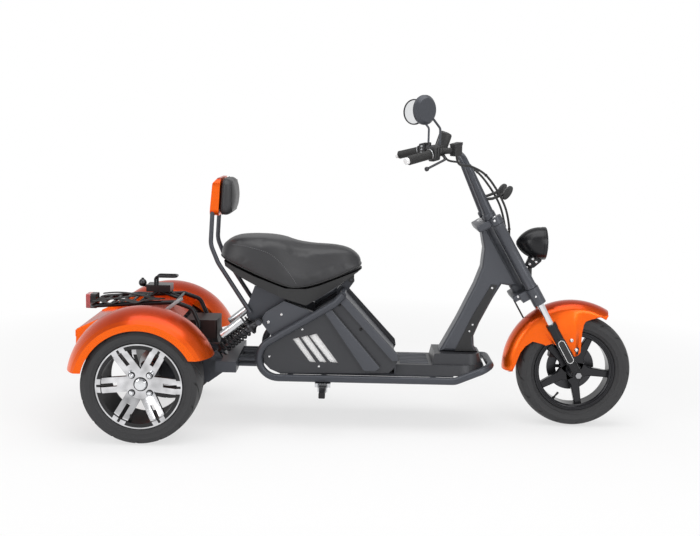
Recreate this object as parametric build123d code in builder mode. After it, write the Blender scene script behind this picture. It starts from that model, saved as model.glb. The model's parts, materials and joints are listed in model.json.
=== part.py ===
from build123d import *

from math import atan2, cos, degrees, radians, sin, sqrt
import os

# Electric trike: a step-through cruiser with one steered front wheel and two wheels on a driven
# rear axle. X points forward, Y to the rider's left and Z up. The origin is on the ground, in the
# middle of the overall length and width. Lengths are in millimetres.

os.makedirs("parts", exist_ok=True)

# Driving dimensions
wheelbase = 1745.0
track = 630.0
front_tyre_radius = 238.0
front_tyre_width = 112.0
rear_tyre_radius = 230.0
rear_tyre_width = 200.0
rake = 30.0
tail_reach = 296.0
overrun = 40.0
seat_gap = 0.3
sleeve_gap = 0.15
running_gap = 0.05
sides = {"right": -1, "left": 1}

# The rear axle is set so that the origin is in the middle of the overall length
rear_x = -(wheelbase + front_tyre_radius - tail_reach) / 2
front_x = rear_x + wheelbase
rear_z = rear_tyre_radius
front_z = front_tyre_radius


def keep(part, name):
    """Labels a finished piece and writes it."""
    part.label = name
    export_step(part, f"parts/{name}.step")


def side_view(y=0.0):
    """A plane of the side view, at y: its own x is forward, its own y is up, it faces right."""
    return Plane(origin=(0, y, 0), x_dir=(1, 0, 0), z_dir=(0, -1, 0))


def spread(shares, back, low, length, height):
    """Side-view points from shares of a length forward of the rear axle and of a height."""
    return [(rear_x + back + u * length, low + v * height) for u, v in shares]


def rod(start, end, radius, bore=0.0):
    """A round bar between two points, or a tube where it has a bore."""
    start = Vector(*start)
    end = Vector(*end)
    with BuildPart() as bar:
        with BuildSketch(Plane(origin=start, z_dir=end - start)):
            Circle(radius)
            if bore:
                Circle(bore, mode=Mode.SUBTRACT)
        extrude(amount=(end - start).length)
    return bar.part


def bent_tube(points, radius, bends):
    """A round tube along straight runs joined by arcs."""
    with BuildPart() as tube:
        with BuildLine() as route:
            FilletPolyline(*points, radius=bends)
        with BuildSketch(Plane(origin=route.line @ 0, z_dir=route.line % 0)):
            Circle(radius)
        sweep(path=route.line)
    return tube.part


def plate(points, low_y, high_y):
    """A flat plate cut to a side-view outline, between two distances across the trike."""
    with BuildPart() as sheet:
        with BuildSketch(side_view(high_y)):
            with BuildLine():
                Polyline(*points, close=True)
            make_face()
        extrude(amount=high_y - low_y)
    return sheet.part


def at(forward, up, y=0.0):
    """A point of the trike, given forward of the rear axle."""
    return (rear_x + forward, y, up)


# Wheels share the section of their rims and the form of their tyres
seat_radius = 152.4
lip_height = 14.1
lip_radius = seat_radius + lip_height
lip_thickness = 7.0
barrel_thickness = 6.0
rear_bead_half = 83.0
front_bead_half = 34.0
shoulder_share = 0.86
shoulder_drop = 13.0
bulge_share = 0.45


def tyre_part(centre, radius, width, bead_half):
    """A tyre turned about its axle, with a foot between the rim's lips and round sidewalls."""
    half = width / 2
    lip = lip_radius + seat_gap
    foot = seat_radius + seat_gap
    bulge = lip + (radius - lip) * bulge_share
    shoulder = radius - shoulder_drop
    edge = half * shoulder_share
    with BuildPart() as tyre:
        with BuildSketch(Plane(origin=centre)):
            with BuildLine():
                Polyline((lip, -bead_half), (foot, -bead_half), (foot, bead_half), (lip, bead_half))
                ThreePointArc((lip, bead_half), (bulge, half), (shoulder, edge))
                ThreePointArc((shoulder, edge), (radius, 0), (shoulder, -edge))
                ThreePointArc((shoulder, -edge), (bulge, -half), (lip, -bead_half))
            make_face()
        revolve(axis=Axis(centre, (0, 1, 0)))
    return tyre.part


def barrel_part(centre, bead_half):
    """The rolled barrel of a rim, with a lip at each edge."""
    inner = bead_half + seat_gap
    outer = inner + lip_thickness
    floor = seat_radius - barrel_thickness
    with BuildPart() as barrel:
        with BuildSketch(Plane(origin=centre)):
            with BuildLine():
                Polyline(
                    (floor, -outer), (lip_radius, -outer), (lip_radius, -inner),
                    (seat_radius, -inner), (seat_radius, inner), (lip_radius, inner),
                    (lip_radius, outer), (floor, outer), close=True,
                )
            make_face()
        revolve(axis=Axis(centre, (0, 1, 0)))
    return barrel.part


# Rear wheels: polished rims with six twin spokes that dish in to a four-stud hub
rear_spokes = 6
rear_hub_radius = 58.0
rear_hub_recess = 36.0
rear_hub_depth = 26.0
rear_spoke_depth = 16.0
rear_spoke_root = 60.0
rear_spoke_tip = 60.0
rear_face_step = 3.0
slot_width = 15.0
slot_start = 88.0
stud_circle = 49.0
stud_radius = 8.0
stud_length = 12.0
stud_count = 4
stud_turn = 45.0
cap_radius = 22.0
cap_height = 10.0
cap_taper = 15.0
spoke_reach = seat_radius - barrel_thickness / 2
rear_face = rear_bead_half + lip_thickness - rear_face_step
rear_hub_face = rear_face - rear_hub_recess
rear_hub_back = rear_hub_face - rear_hub_depth

for label, side in sides.items():
    rear_centre = at(0, rear_z, side * track / 2)
    barrel = barrel_part(rear_centre, rear_bead_half)
    with BuildPart() as spokes:
        with BuildSketch(Plane(origin=rear_centre, x_dir=(1, 0, 0), z_dir=(0, -1, 0))):
            with PolarLocations(0, rear_spokes):
                Polygon(
                    (0, -rear_spoke_root / 2), (spoke_reach, -rear_spoke_tip / 2),
                    (spoke_reach, rear_spoke_tip / 2), (0, rear_spoke_root / 2), align=None,
                )
            with PolarLocations((slot_start + spoke_reach) / 2, rear_spokes):
                Rectangle(spoke_reach - slot_start, slot_width, mode=Mode.SUBTRACT)
            Circle(rear_hub_radius)
        extrude(amount=rear_bead_half, both=True)
        with BuildSketch(Plane(origin=rear_centre)):
            with BuildLine():
                Polyline(
                    (0, side * rear_hub_face), (rear_hub_radius, side * rear_hub_face),
                    (spoke_reach, side * rear_face),
                    (spoke_reach, side * (rear_face - rear_spoke_depth)),
                    (rear_hub_radius, side * (rear_hub_face - rear_spoke_depth)),
                    (rear_hub_radius, side * rear_hub_back), (0, side * rear_hub_back), close=True,
                )
            make_face()
        revolve(axis=Axis(rear_centre, (0, 1, 0)), mode=Mode.INTERSECT)
    hub_plane = Plane(
        origin=at(0, rear_z, side * (track / 2 + rear_hub_face)), x_dir=(1, 0, 0), z_dir=(0, side, 0)
    )
    with BuildPart() as rear_rim:
        add(barrel)
        add(spokes.part)
        with BuildSketch(hub_plane):
            Circle(cap_radius)
        extrude(amount=cap_height, taper=cap_taper)
        with BuildSketch(hub_plane):
            with PolarLocations(stud_circle, stud_count, start_angle=stud_turn):
                RegularPolygon(stud_radius, 6)
        extrude(amount=stud_length)
    keep(rear_rim.part, f"rear_rim_{label}")
    keep(tyre_part(rear_centre, rear_tyre_radius, rear_tyre_width, rear_bead_half), f"rear_tyre_{label}")

# Drive axle: a motor and gear casing between two axle tubes, and a flanged shaft to each wheel
shaft_radius = 15.0
flange_radius = 56.0
flange_thickness = 10.0
shaft_depth = 70.0
axle_tube_radius = 30.0
axle_tube_half = 205.0
axle_boss_radius = 42.0
axle_boss_length = 22.0
casing_radius = 72.0
casing_half = 66.0
casing_shoulder = 16.0
flange_y = track / 2 + rear_hub_back - seat_gap

for label, side in sides.items():
    with BuildPart() as rear_hub:
        add(rod(
            at(0, rear_z, side * (axle_tube_half - shaft_depth)),
            at(0, rear_z, side * flange_y), shaft_radius,
        ))
        add(rod(
            at(0, rear_z, side * (flange_y - flange_thickness)),
            at(0, rear_z, side * flange_y), flange_radius,
        ))
    keep(rear_hub.part, f"rear_hub_{label}")

with BuildPart() as drive_axle:
    with BuildSketch(Plane(origin=at(0, rear_z))):
        with BuildLine():
            Polyline(
                (0, -axle_tube_half), (axle_boss_radius, -axle_tube_half),
                (axle_boss_radius, axle_boss_length - axle_tube_half),
                (axle_tube_radius, axle_boss_length - axle_tube_half),
                (axle_tube_radius, -casing_half), (casing_radius, casing_shoulder - casing_half),
                (casing_radius, casing_half - casing_shoulder), (axle_tube_radius, casing_half),
                (axle_tube_radius, axle_tube_half - axle_boss_length),
                (axle_boss_radius, axle_tube_half - axle_boss_length),
                (axle_boss_radius, axle_tube_half), (0, axle_tube_half), close=True,
            )
        make_face()
    revolve(axis=Axis(at(0, rear_z), (0, 1, 0)))
    for side in sides.values():
        with BuildSketch(side_view(side * (axle_tube_half + overrun))):
            with Locations((rear_x, rear_z)):
                Circle(shaft_radius + running_gap)
        extrude(amount=side * (shaft_depth + overrun + seat_gap), mode=Mode.SUBTRACT)
keep(drive_axle.part, "drive_axle")

# Front wheel: a black cast rim with five tapered spokes, and a brake disc on its left
front_spokes = 5
front_hub_radius = 34.0
front_hub_half = 36.0
front_spoke_root = 46.0
front_spoke_tip = 26.0
front_spoke_half = 13.0
axle_radius = 8.0
disc_radius = 100.0
disc_inner_share = 0.62
disc_thickness = 4.0
disc_y = 46.0
disc_arms = 6
disc_arm_width = 14.0
front_centre = at(wheelbase, front_z)
keep(tyre_part(front_centre, front_tyre_radius, front_tyre_width, front_bead_half), "front_tyre")


def front_plane(y=0.0):
    """The side view's plane at y, with its origin on the front axle."""
    return Plane(origin=at(wheelbase, front_z, y), x_dir=(1, 0, 0), z_dir=(0, -1, 0))


front_barrel = barrel_part(front_centre, front_bead_half)
with BuildPart() as front_rim:
    add(front_barrel)
    with BuildSketch(front_plane()):
        with PolarLocations(0, front_spokes, start_angle=-90):
            Polygon(
                (0, -front_spoke_root / 2), (spoke_reach, -front_spoke_tip / 2),
                (spoke_reach, front_spoke_tip / 2), (0, front_spoke_root / 2), align=None,
            )
    extrude(amount=front_spoke_half, both=True)
    with BuildSketch(front_plane()):
        Circle(front_hub_radius)
    extrude(amount=front_hub_half, both=True)
    with BuildSketch(front_plane()):
        Circle(axle_radius + running_gap)
    extrude(amount=front_hub_half, both=True, mode=Mode.SUBTRACT)
keep(front_rim.part, "front_rim")

with BuildPart() as front_disc:
    with BuildSketch(front_plane(disc_y + disc_thickness)):
        Circle(disc_radius)
        Circle(disc_radius * disc_inner_share, mode=Mode.SUBTRACT)
        with PolarLocations(disc_radius * disc_inner_share / 2, disc_arms):
            Rectangle(disc_radius * disc_inner_share * 1.1, disc_arm_width)
        Circle(front_hub_radius)
        Circle(axle_radius + running_gap, mode=Mode.SUBTRACT)
    extrude(amount=disc_thickness)
    with BuildSketch(front_plane(disc_y)):
        Circle(front_hub_radius)
        Circle(axle_radius + running_gap, mode=Mode.SUBTRACT)
    extrude(amount=disc_y - front_hub_half)
keep(front_disc.part, "front_disc")

# Steering geometry: the legs' line runs up from the front axle at the rake angle
steer_up = Vector(-sin(radians(rake)), 0, cos(radians(rake)))
steer_back = Vector(-cos(radians(rake)), 0, -sin(radians(rake)))
leg_spread = 92.0
stem_offset = 45.0
lower_yoke_low = 372.0
lower_yoke_top = 412.0
upper_yoke_low = 712.0
upper_yoke_top = 742.0


def steer_point(along, back=0.0, y=0.0):
    """A point along the fork legs' line, back from it, and across the trike."""
    point = Vector(*front_centre) + steer_up * along + steer_back * back
    return Vector(point.X, y, point.Z)


def steer_plane(along, back=0.0, y=0.0):
    """A plane square to the fork: its own x is back, its own y is right, it faces up the fork."""
    return Plane(origin=steer_point(along, back, y), x_dir=steer_back, z_dir=steer_up)


# Fork: black lowers with axle lugs, bright stanchions, shrouds and two yokes
stanchion_radius = 14.0
lower_radius = 20.0
lower_length = 240.0
lower_bore_start = 60.0
dust_cap_radius = 22.0
dust_cap_length = 22.0
axle_lug_radius = 22.0
axle_head_radius = 13.0
axle_head_height = 8.0
shroud_radius = 20.0
yoke_eye_radius = 27.0
collar_length = 34.0
stem_radius = 13.0
pad_inner = 66.3
pad_outer = 80.0
pad_outline_shares = [(0.00, 0.25), (0.95, 0.00), (1.00, 0.52), (0.00, 1.00)]
pad_back = 1690.0
pad_low = 318.0
pad_length = 60.0
pad_height = 52.0
caliper_lug_shares = [(0.00, 0.00), (0.92, 0.00), (1.00, 1.00), (0.10, 1.00)]
caliper_back = 1652.0
caliper_low = 277.0
caliper_length = 62.0
caliper_height = 40.0
lowers_pads = [
    plate(spread(pad_outline_shares, pad_back, pad_low, pad_length, pad_height), pad_inner, pad_outer),
    plate(spread(pad_outline_shares, pad_back, pad_low, pad_length, pad_height), -pad_outer, -pad_inner),
    plate(
        spread(caliper_lug_shares, caliper_back, caliper_low, caliper_length, caliper_height),
        pad_inner, pad_outer,
    ),
]
with BuildPart() as fork_lowers:
    for side in sides.values():
        with BuildSketch(steer_plane(0, 0, side * leg_spread)):
            Circle(lower_radius)
        extrude(amount=lower_length)
        with BuildSketch(steer_plane(lower_length - dust_cap_length, 0, side * leg_spread)):
            Circle(dust_cap_radius)
        extrude(amount=dust_cap_length)
        with BuildSketch(front_plane(side * leg_spread)):
            Circle(axle_lug_radius)
        extrude(amount=lower_radius, both=True)
    for pad in lowers_pads:
        add(pad)
    for side in sides.values():
        with BuildSketch(steer_plane(lower_bore_start, 0, side * leg_spread)):
            Circle(stanchion_radius + sleeve_gap)
        extrude(amount=lower_length, mode=Mode.SUBTRACT)
        with BuildSketch(front_plane(side * leg_spread)):
            Circle(axle_radius + sleeve_gap)
        extrude(amount=lower_radius + overrun, both=True, mode=Mode.SUBTRACT)
keep(fork_lowers.part, "fork_lowers")

with BuildPart() as fork_stanchions:
    for side in sides.values():
        with BuildSketch(steer_plane(lower_bore_start + seat_gap, 0, side * leg_spread)):
            Circle(stanchion_radius)
        extrude(amount=upper_yoke_top - lower_bore_start)
keep(fork_stanchions.part, "fork_stanchions")

with BuildPart() as fork_shrouds:
    for side in sides.values():
        with BuildSketch(steer_plane(lower_yoke_top, 0, side * leg_spread)):
            Circle(shroud_radius)
            Circle(stanchion_radius + sleeve_gap, mode=Mode.SUBTRACT)
        extrude(amount=upper_yoke_low - lower_yoke_top)
keep(fork_shrouds.part, "fork_shrouds")

with BuildPart() as front_axle:
    with BuildSketch(front_plane()):
        Circle(axle_radius)
    extrude(amount=leg_spread + lower_radius, both=True)
    for side in sides.values():
        with BuildSketch(front_plane(side * (leg_spread + lower_radius))):
            RegularPolygon(axle_head_radius, 6)
        extrude(amount=-side * axle_head_height)
keep(front_axle.part, "front_axle")


def yoke_sketch(along):
    """The outline of a yoke: an eye about each leg and a web that reaches back to the stem."""
    with BuildSketch(steer_plane(along)) as outline:
        with Locations((0, leg_spread), (0, -leg_spread)):
            Circle(yoke_eye_radius)
        with Locations((stem_offset / 2, 0)):
            Rectangle(stem_offset + yoke_eye_radius, 2 * leg_spread)
        with Locations((0, leg_spread), (0, -leg_spread)):
            Circle(stanchion_radius + sleeve_gap, mode=Mode.SUBTRACT)
    return outline.sketch


lower_outline = yoke_sketch(lower_yoke_low)
with BuildPart() as lower_yoke:
    extrude(lower_outline, amount=lower_yoke_top - lower_yoke_low)
    for side in sides.values():
        with BuildSketch(steer_plane(lower_yoke_low - collar_length, 0, side * leg_spread)):
            Circle(yoke_eye_radius)
            Circle(stanchion_radius + sleeve_gap, mode=Mode.SUBTRACT)
        extrude(amount=collar_length)
    with BuildSketch(steer_plane(lower_yoke_top, stem_offset)):
        Circle(stem_radius)
    extrude(amount=upper_yoke_low - lower_yoke_top)
keep(lower_yoke.part, "lower_yoke")

upper_outline = yoke_sketch(upper_yoke_low)
with BuildPart() as upper_yoke:
    extrude(upper_outline, amount=upper_yoke_top - upper_yoke_low)
keep(upper_yoke.part, "upper_yoke")

# Handlebar: two thick risers that sweep out and back to the grips, with a cross bar
bar_radius = 11.0
bar_bend = 40.0
riser_back = 14.0
riser_spread = 76.0
riser_radius = 15.0
riser_share = 0.78
clamp_radius = 24.0
clamp_height = 26.0
cross_bar_radius = 8.0
cross_bar_share = 0.15
knee_forward = 1240.0
knee_height = 1128.0
elbow_forward = 1150.0
elbow_out = 262.0
elbow_height = 1148.0
grip_end_forward = 1004.0
grip_end_out = 350.0
grip_end_height = 1108.0


def bar_points(side):
    """The handlebar's corners on one side, from its clamp to the end of the grip."""
    return [
        steer_point(upper_yoke_top + seat_gap, riser_back, side * riser_spread),
        Vector(*at(knee_forward, knee_height, side * riser_spread)),
        Vector(*at(elbow_forward, elbow_height, side * elbow_out)),
        Vector(*at(grip_end_forward, grip_end_height, side * grip_end_out)),
    ]


bar_pieces = []
for side in sides.values():
    foot, knee, elbow, tip = bar_points(side)
    bar_pieces.append(bent_tube([foot, knee, elbow, tip], bar_radius, bar_bend))
    bar_pieces.append(rod(foot, foot + (knee - foot) * riser_share, riser_radius))
brace = [knee + (elbow - knee) * cross_bar_share for _, knee, elbow, _ in map(bar_points, (-1, 1))]
bar_pieces.append(rod(*brace, cross_bar_radius))
with BuildPart() as handlebar:
    for piece in bar_pieces:
        add(piece)
    with BuildSketch(steer_plane(upper_yoke_top, riser_back)):
        with Locations((0, riser_spread), (0, -riser_spread)):
            Circle(clamp_radius)
        Rectangle(2 * riser_radius, 2 * riser_spread)
    extrude(amount=clamp_height)
    with BuildSketch(steer_plane(upper_yoke_top + seat_gap, riser_back)):
        Rectangle(2 * leg_spread, 4 * leg_spread)
    extrude(amount=-overrun, mode=Mode.SUBTRACT)
keep(handlebar.part, "handlebar")

grip_radius = 17.0
grip_length = 108.0
grip_cap_radius = 13.0
grip_cap_length = 12.0
switch_length = 30.0
switch_size = 42.0
perch_length = 20.0
perch_radius = 17.0
mirror_boss_radius = 8.0
mirror_boss_height = 26.0
lever_radius = 5.0
lever_reach = 52.0
lever_length = 128.0
lever_drop = 16.0
lever_bend = 12.0


def grip_plane(side):
    """A plane square to the grip at its outer end, which faces inward along the bar."""
    foot, knee, elbow, tip = bar_points(side)
    return Plane(origin=tip, x_dir=(0, 0, 1), z_dir=elbow - tip)


with BuildPart() as grips:
    for side in sides.values():
        with BuildSketch(grip_plane(side)):
            Circle(grip_radius)
            Circle(bar_radius + sleeve_gap, mode=Mode.SUBTRACT)
        extrude(amount=grip_length)
keep(grips.part, "grips")

with BuildPart() as bar_ends:
    for side in sides.values():
        with BuildSketch(grip_plane(side).offset(-seat_gap)):
            Circle(grip_cap_radius)
        extrude(amount=-grip_cap_length)
keep(bar_ends.part, "bar_ends")

levers = []
mirror_bosses = []
for side in sides.values():
    perch = grip_plane(side).offset(grip_length + switch_length + perch_length / 2)
    mirror_bosses.append(rod(perch.origin, perch.origin + Vector(0, 0, mirror_boss_height), mirror_boss_radius))
    ahead = perch.z_dir.cross(Vector(0, 0, side)).normalized()
    drop = Vector(0, 0, -lever_drop)
    root = perch.origin + ahead * perch_radius / 2
    knuckle = root + ahead * lever_reach + drop
    levers.append(bent_tube([root, knuckle, knuckle - perch.z_dir * lever_length + drop], lever_radius, lever_bend))
with BuildPart() as bar_controls:
    for side in sides.values():
        with BuildSketch(grip_plane(side).offset(grip_length + seat_gap)):
            RectangleRounded(switch_size, switch_size, bar_radius)
        extrude(amount=switch_length)
        with BuildSketch(grip_plane(side).offset(grip_length + switch_length)):
            Circle(perch_radius)
        extrude(amount=perch_length)
    for piece in levers + mirror_bosses:
        add(piece)
    for side in sides.values():
        with BuildSketch(grip_plane(side)):
            Circle(bar_radius + sleeve_gap)
        extrude(amount=grip_length + switch_length + perch_length + overrun, mode=Mode.SUBTRACT)
keep(bar_controls.part, "bar_controls")

# Head lamp: a bullet shell with its lens, on a post from the lower yoke
lamp_length = 118.0
lamp_radius = 65.0
lamp_back = 1484.0
lamp_height = 768.0
lamp_tip = 8.0
lamp_wall = 3.0
lens_bulge = 14.0
lamp_post_radius = 9.0
lamp_post_forward = 8.0
lamp_seat_share = 0.5
lamp_swell_share = 0.36
lamp_swell_height_share = 0.8
lens_rim = lamp_radius - lamp_wall


def lamp_plane():
    """The side view's plane with its origin at the rear tip of the head lamp."""
    return Plane(origin=at(lamp_back, lamp_height), x_dir=(1, 0, 0), z_dir=(0, -1, 0))


lamp_axis = Axis(at(lamp_back, lamp_height), (1, 0, 0))
with BuildPart() as head_lamp:
    with BuildSketch(lamp_plane()):
        with BuildLine():
            Polyline((0, lamp_tip), (0, 0), (lamp_length, 0), (lamp_length, lamp_radius))
            ThreePointArc(
                (lamp_length, lamp_radius),
                (lamp_length * lamp_swell_share, lamp_radius * lamp_swell_height_share),
                (0, lamp_tip),
            )
        make_face()
    revolve(axis=lamp_axis)
keep(head_lamp.part, "head_lamp")

with BuildPart() as head_lamp_lens:
    with BuildSketch(lamp_plane()):
        with BuildLine():
            lens_back = lamp_length + seat_gap
            Polyline((lens_back, lens_rim), (lens_back, 0), (lens_back + lens_bulge, 0))
            ThreePointArc(
                (lens_back + lens_bulge, 0), (lens_back + lens_bulge * 0.7, lens_rim * 0.6),
                (lens_back, lens_rim),
            )
        make_face()
    revolve(axis=lamp_axis)
keep(head_lamp_lens.part, "head_lamp_lens")

post_foot = steer_point(lower_yoke_top + seat_gap, -lamp_post_forward)
post_top = Vector(*at(lamp_back + lamp_length * lamp_seat_share, lamp_height))
with BuildPart() as lamp_post:
    add(rod(post_foot, post_top, lamp_post_radius))
    with BuildSketch(steer_plane(lower_yoke_top + seat_gap)):
        Rectangle(2 * leg_spread, leg_spread)
    extrude(amount=-overrun, mode=Mode.SUBTRACT)
    with BuildSketch(lamp_plane()):
        with BuildLine():
            tip = -seat_gap
            rim = lamp_radius + seat_gap
            Polyline((tip, lamp_tip), (tip, 0), (lamp_length, 0), (lamp_length, rim))
            ThreePointArc(
                (lamp_length, rim),
                (
                    lamp_length * lamp_swell_share - seat_gap / 2,
                    lamp_radius * lamp_swell_height_share + seat_gap,
                ),
                (tip, lamp_tip),
            )
        make_face()
    revolve(axis=lamp_axis, mode=Mode.SUBTRACT)
keep(lamp_post.part, "lamp_post")

# Front fender: a round-topped blade that follows the tyre, cut to its side outline
front_fender_radius = 292.0
front_fender_half = 66.0
fender_wall = 3.0
front_fender_core = 70.0
front_fender_crown = 18.0
front_fender_lift = 6.0
front_fender_shares = [
    (0.00, 0.00), (0.00, 1.00), (1.00, 1.00), (1.00, 0.78), (0.85, 0.73), (0.69, 0.64),
    (0.72, 0.30), (0.64, 0.28), (0.41, 0.37), (0.27, 0.42), (0.13, 0.19), (0.05, 0.00),
]
front_fender_back = 1440.0
front_fender_low = 226.0
front_fender_length = 446.0
front_fender_height = 334.0
front_fender_centre = at(wheelbase, front_z + front_fender_lift)
with BuildPart() as front_fender:
    with BuildSketch(Plane(origin=front_fender_centre)):
        with BuildLine():
            knee = front_fender_radius - front_fender_crown
            half = front_fender_half
            Polyline((knee, half), (front_fender_core, half), (front_fender_core, -half), (knee, -half))
            ThreePointArc((knee, -half), (front_fender_radius, 0), (knee, half))
        make_face()
        with BuildLine():
            knee -= fender_wall
            half -= fender_wall
            core = front_fender_core - overrun
            Polyline((knee, half), (core, half), (core, -half), (knee, -half))
            ThreePointArc((knee, -half), (front_fender_radius - fender_wall, 0), (knee, half))
        make_face(mode=Mode.SUBTRACT)
    revolve(axis=Axis(front_fender_centre, (0, 1, 0)))
    with BuildSketch(side_view()):
        with BuildLine():
            Polyline(
                *spread(
                    front_fender_shares, front_fender_back, front_fender_low,
                    front_fender_length, front_fender_height,
                ),
                close=True,
            )
        make_face()
    extrude(amount=front_fender_half + overrun, both=True, mode=Mode.INTERSECT)
keep(front_fender.part, "front_fender")

# Front brake caliper, astride the disc on the left leg
caliper_inner = 36.0
caliper_outer = 66.0
caliper_slot = 8.0
caliper_round = 10.0
caliper_grow = 6.0
caliper_box = plate(
    spread(caliper_lug_shares, caliper_back, caliper_low, caliper_length, caliper_height),
    caliper_inner, caliper_outer,
)
with BuildPart() as brake_caliper:
    add(caliper_box)
    with BuildSketch(front_plane(disc_y + (disc_thickness + caliper_slot) / 2)):
        Circle(disc_radius + disc_thickness)
    extrude(amount=caliper_slot, mode=Mode.SUBTRACT)
keep(brake_caliper.part, "brake_caliper")

# Frame: one bent tube runs down each side from the seat, round the heel and the nose
tube_radius = 15.0
frame_half = 150.0
frame_low = 211.0
frame_top_forward = 772.0
frame_top = 558.0
frame_shoulder_forward = 737.0
frame_shoulder = 520.0
heel_forward = 230.0
heel_bend = 80.0
shoulder_bend = 60.0
nose_forward = 1235.0
nose_knee_forward = 1352.0
nose_knee_half = 138.0
nose_knee = 256.0
nose_tip_forward = 1386.0
nose_tip_half = 92.0
nose_tip = 266.0
nose_bend = 55.0
cross_tube_radius = 12.0
waist_forward = 700.0
deck_tube_forward = 1150.0
heel_tube_forward = 560.0


def frame_run(side):
    """The corners of the frame tube on one side, from the seat to the nose."""
    return [
        Vector(*at(frame_top_forward, frame_top, side * frame_half)),
        Vector(*at(frame_shoulder_forward, frame_shoulder, side * frame_half)),
        Vector(*at(heel_forward, frame_low, side * frame_half)),
        Vector(*at(nose_forward, frame_low, side * frame_half)),
        Vector(*at(nose_knee_forward, nose_knee, side * nose_knee_half)),
        Vector(*at(nose_tip_forward, nose_tip, side * nose_tip_half)),
    ]


frame_bends = [shoulder_bend, heel_bend, nose_bend, nose_bend, nose_bend]
main_tube = bent_tube(
    frame_run(-1) + frame_run(1)[::-1], tube_radius, frame_bends + frame_bends[::-1]
)
cross_tubes = [
    rod(at(forward, up, -frame_half), at(forward, up, frame_half), cross_tube_radius)
    for forward, up in (
        (frame_top_forward, frame_top), (heel_tube_forward, frame_low),
        (waist_forward, frame_low), (deck_tube_forward, frame_low),
    )
]
with BuildPart() as main_frame:
    add(main_tube)
    for cross_tube in cross_tubes:
        add(cross_tube)
keep(main_frame.part, "main_frame")

# Belly plate between the frame tubes
belly_thickness = 4.0
belly_back = 520.0
belly_length = 710.0
belly_half = frame_half - tube_radius - seat_gap
belly_low = frame_low + cross_tube_radius + seat_gap
belly_top = belly_low + belly_thickness
body_low = belly_top + seat_gap
with BuildPart() as belly_plate:
    with BuildSketch(Plane.XY.offset(belly_low)):
        with Locations((rear_x + belly_back + belly_length / 2, 0)):
            Rectangle(belly_length, 2 * belly_half)
    extrude(amount=belly_thickness)
keep(belly_plate.part, "belly_plate")

# Body shell: a folded cover that closes the front, top and back of the battery bay
shell_wall = 4.0
shell_half = 128.0
shell_back = 470.0
shell_length = 522.0
shell_height = 320.0
shell_shares = [
    (0.00, 0.22), (0.04, 0.38), (0.51, 0.85), (0.57, 0.96), (0.60, 0.94), (1.00, 0.22),
    (1.00, 0.00), (0.11, 0.00), (0.03, 0.09),
]


def shell_outline(grow):
    """The side outline of the body shell, grown by an amount."""
    with BuildSketch(side_view()) as outline:
        with BuildLine():
            Polyline(*spread(shell_shares, shell_back, body_low, shell_length, shell_height), close=True)
        make_face()
        if grow:
            offset(amount=grow, kind=Kind.INTERSECTION)
    return outline.sketch


shell_outer = shell_outline(0)
shell_inner = shell_outline(-shell_wall)
shell_clear = shell_outline(seat_gap)
with BuildPart() as body_shell:
    extrude(shell_outer, amount=shell_half, both=True)
    extrude(shell_inner, amount=shell_half, both=True, mode=Mode.SUBTRACT)
    with BuildSketch(side_view()):
        with Locations((rear_x + frame_top_forward, frame_top)):
            Circle(cross_tube_radius + seat_gap)
    extrude(amount=shell_half, both=True, mode=Mode.SUBTRACT)
keep(body_shell.part, "body_shell")

battery_length = 330.0
battery_back = 565.0
battery_half = 90.0
battery_height = 140.0
with BuildPart() as battery_pack:
    with BuildSketch(Plane.XY.offset(body_low + shell_wall + seat_gap)):
        with Locations((rear_x + battery_back + battery_length / 2, 0)):
            Rectangle(battery_length, 2 * battery_half)
    extrude(amount=battery_height)
keep(battery_pack.part, "battery_pack")

# Side panels: pressed plates inside the frame tube, with a raised ridge and three slanted slots
panel_inner = shell_half + seat_gap
panel_outer = 141.0
panel_back = 452.0
panel_length = 551.0
panel_height = 326.0
panel_shares = [
    (0.00, 0.21), (0.02, 0.32), (0.06, 0.41), (0.53, 0.89), (0.59, 1.00), (1.00, 0.21),
    (0.97, 0.10), (0.93, 0.03), (0.12, 0.00), (0.05, 0.05), (0.01, 0.12),
]
ridge_depth = 14.0
ridge_back = 684.0
ridge_low = 246.0
ridge_length = 246.0
ridge_height = 272.0
ridge_shares = [(0.00, 0.94), (0.11, 1.00), (1.00, 0.06), (0.90, 0.00), (0.72, 0.00)]
rib_depth = 10.0
rib_back = 745.0
rib_low = 288.0
rib_length = 259.0
rib_height = 276.0
rib_shares = [(0.00, 0.92), (0.10, 1.00), (0.98, 0.11), (1.00, 0.01), (0.89, 0.00)]
slot_count = 3
slot_back = 570.0
slot_low = 274.0
slot_span = 98.0
slot_rise = 96.0
slot_step = 33.0
slot_lift = 8.0
slot_extra = 12.0
strip_thickness = 4.0
slot_shares = [(0.00, 1.00), (0.25, 1.08), (1.00, 0.00), (0.72, 0.03)]


def slot_points(index, grow=0.0):
    """One slanted slot, counted from the back."""
    return spread(
        slot_shares, slot_back + index * slot_step, slot_low,
        slot_span + index * slot_extra, slot_rise + index * slot_lift,
    )


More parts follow.
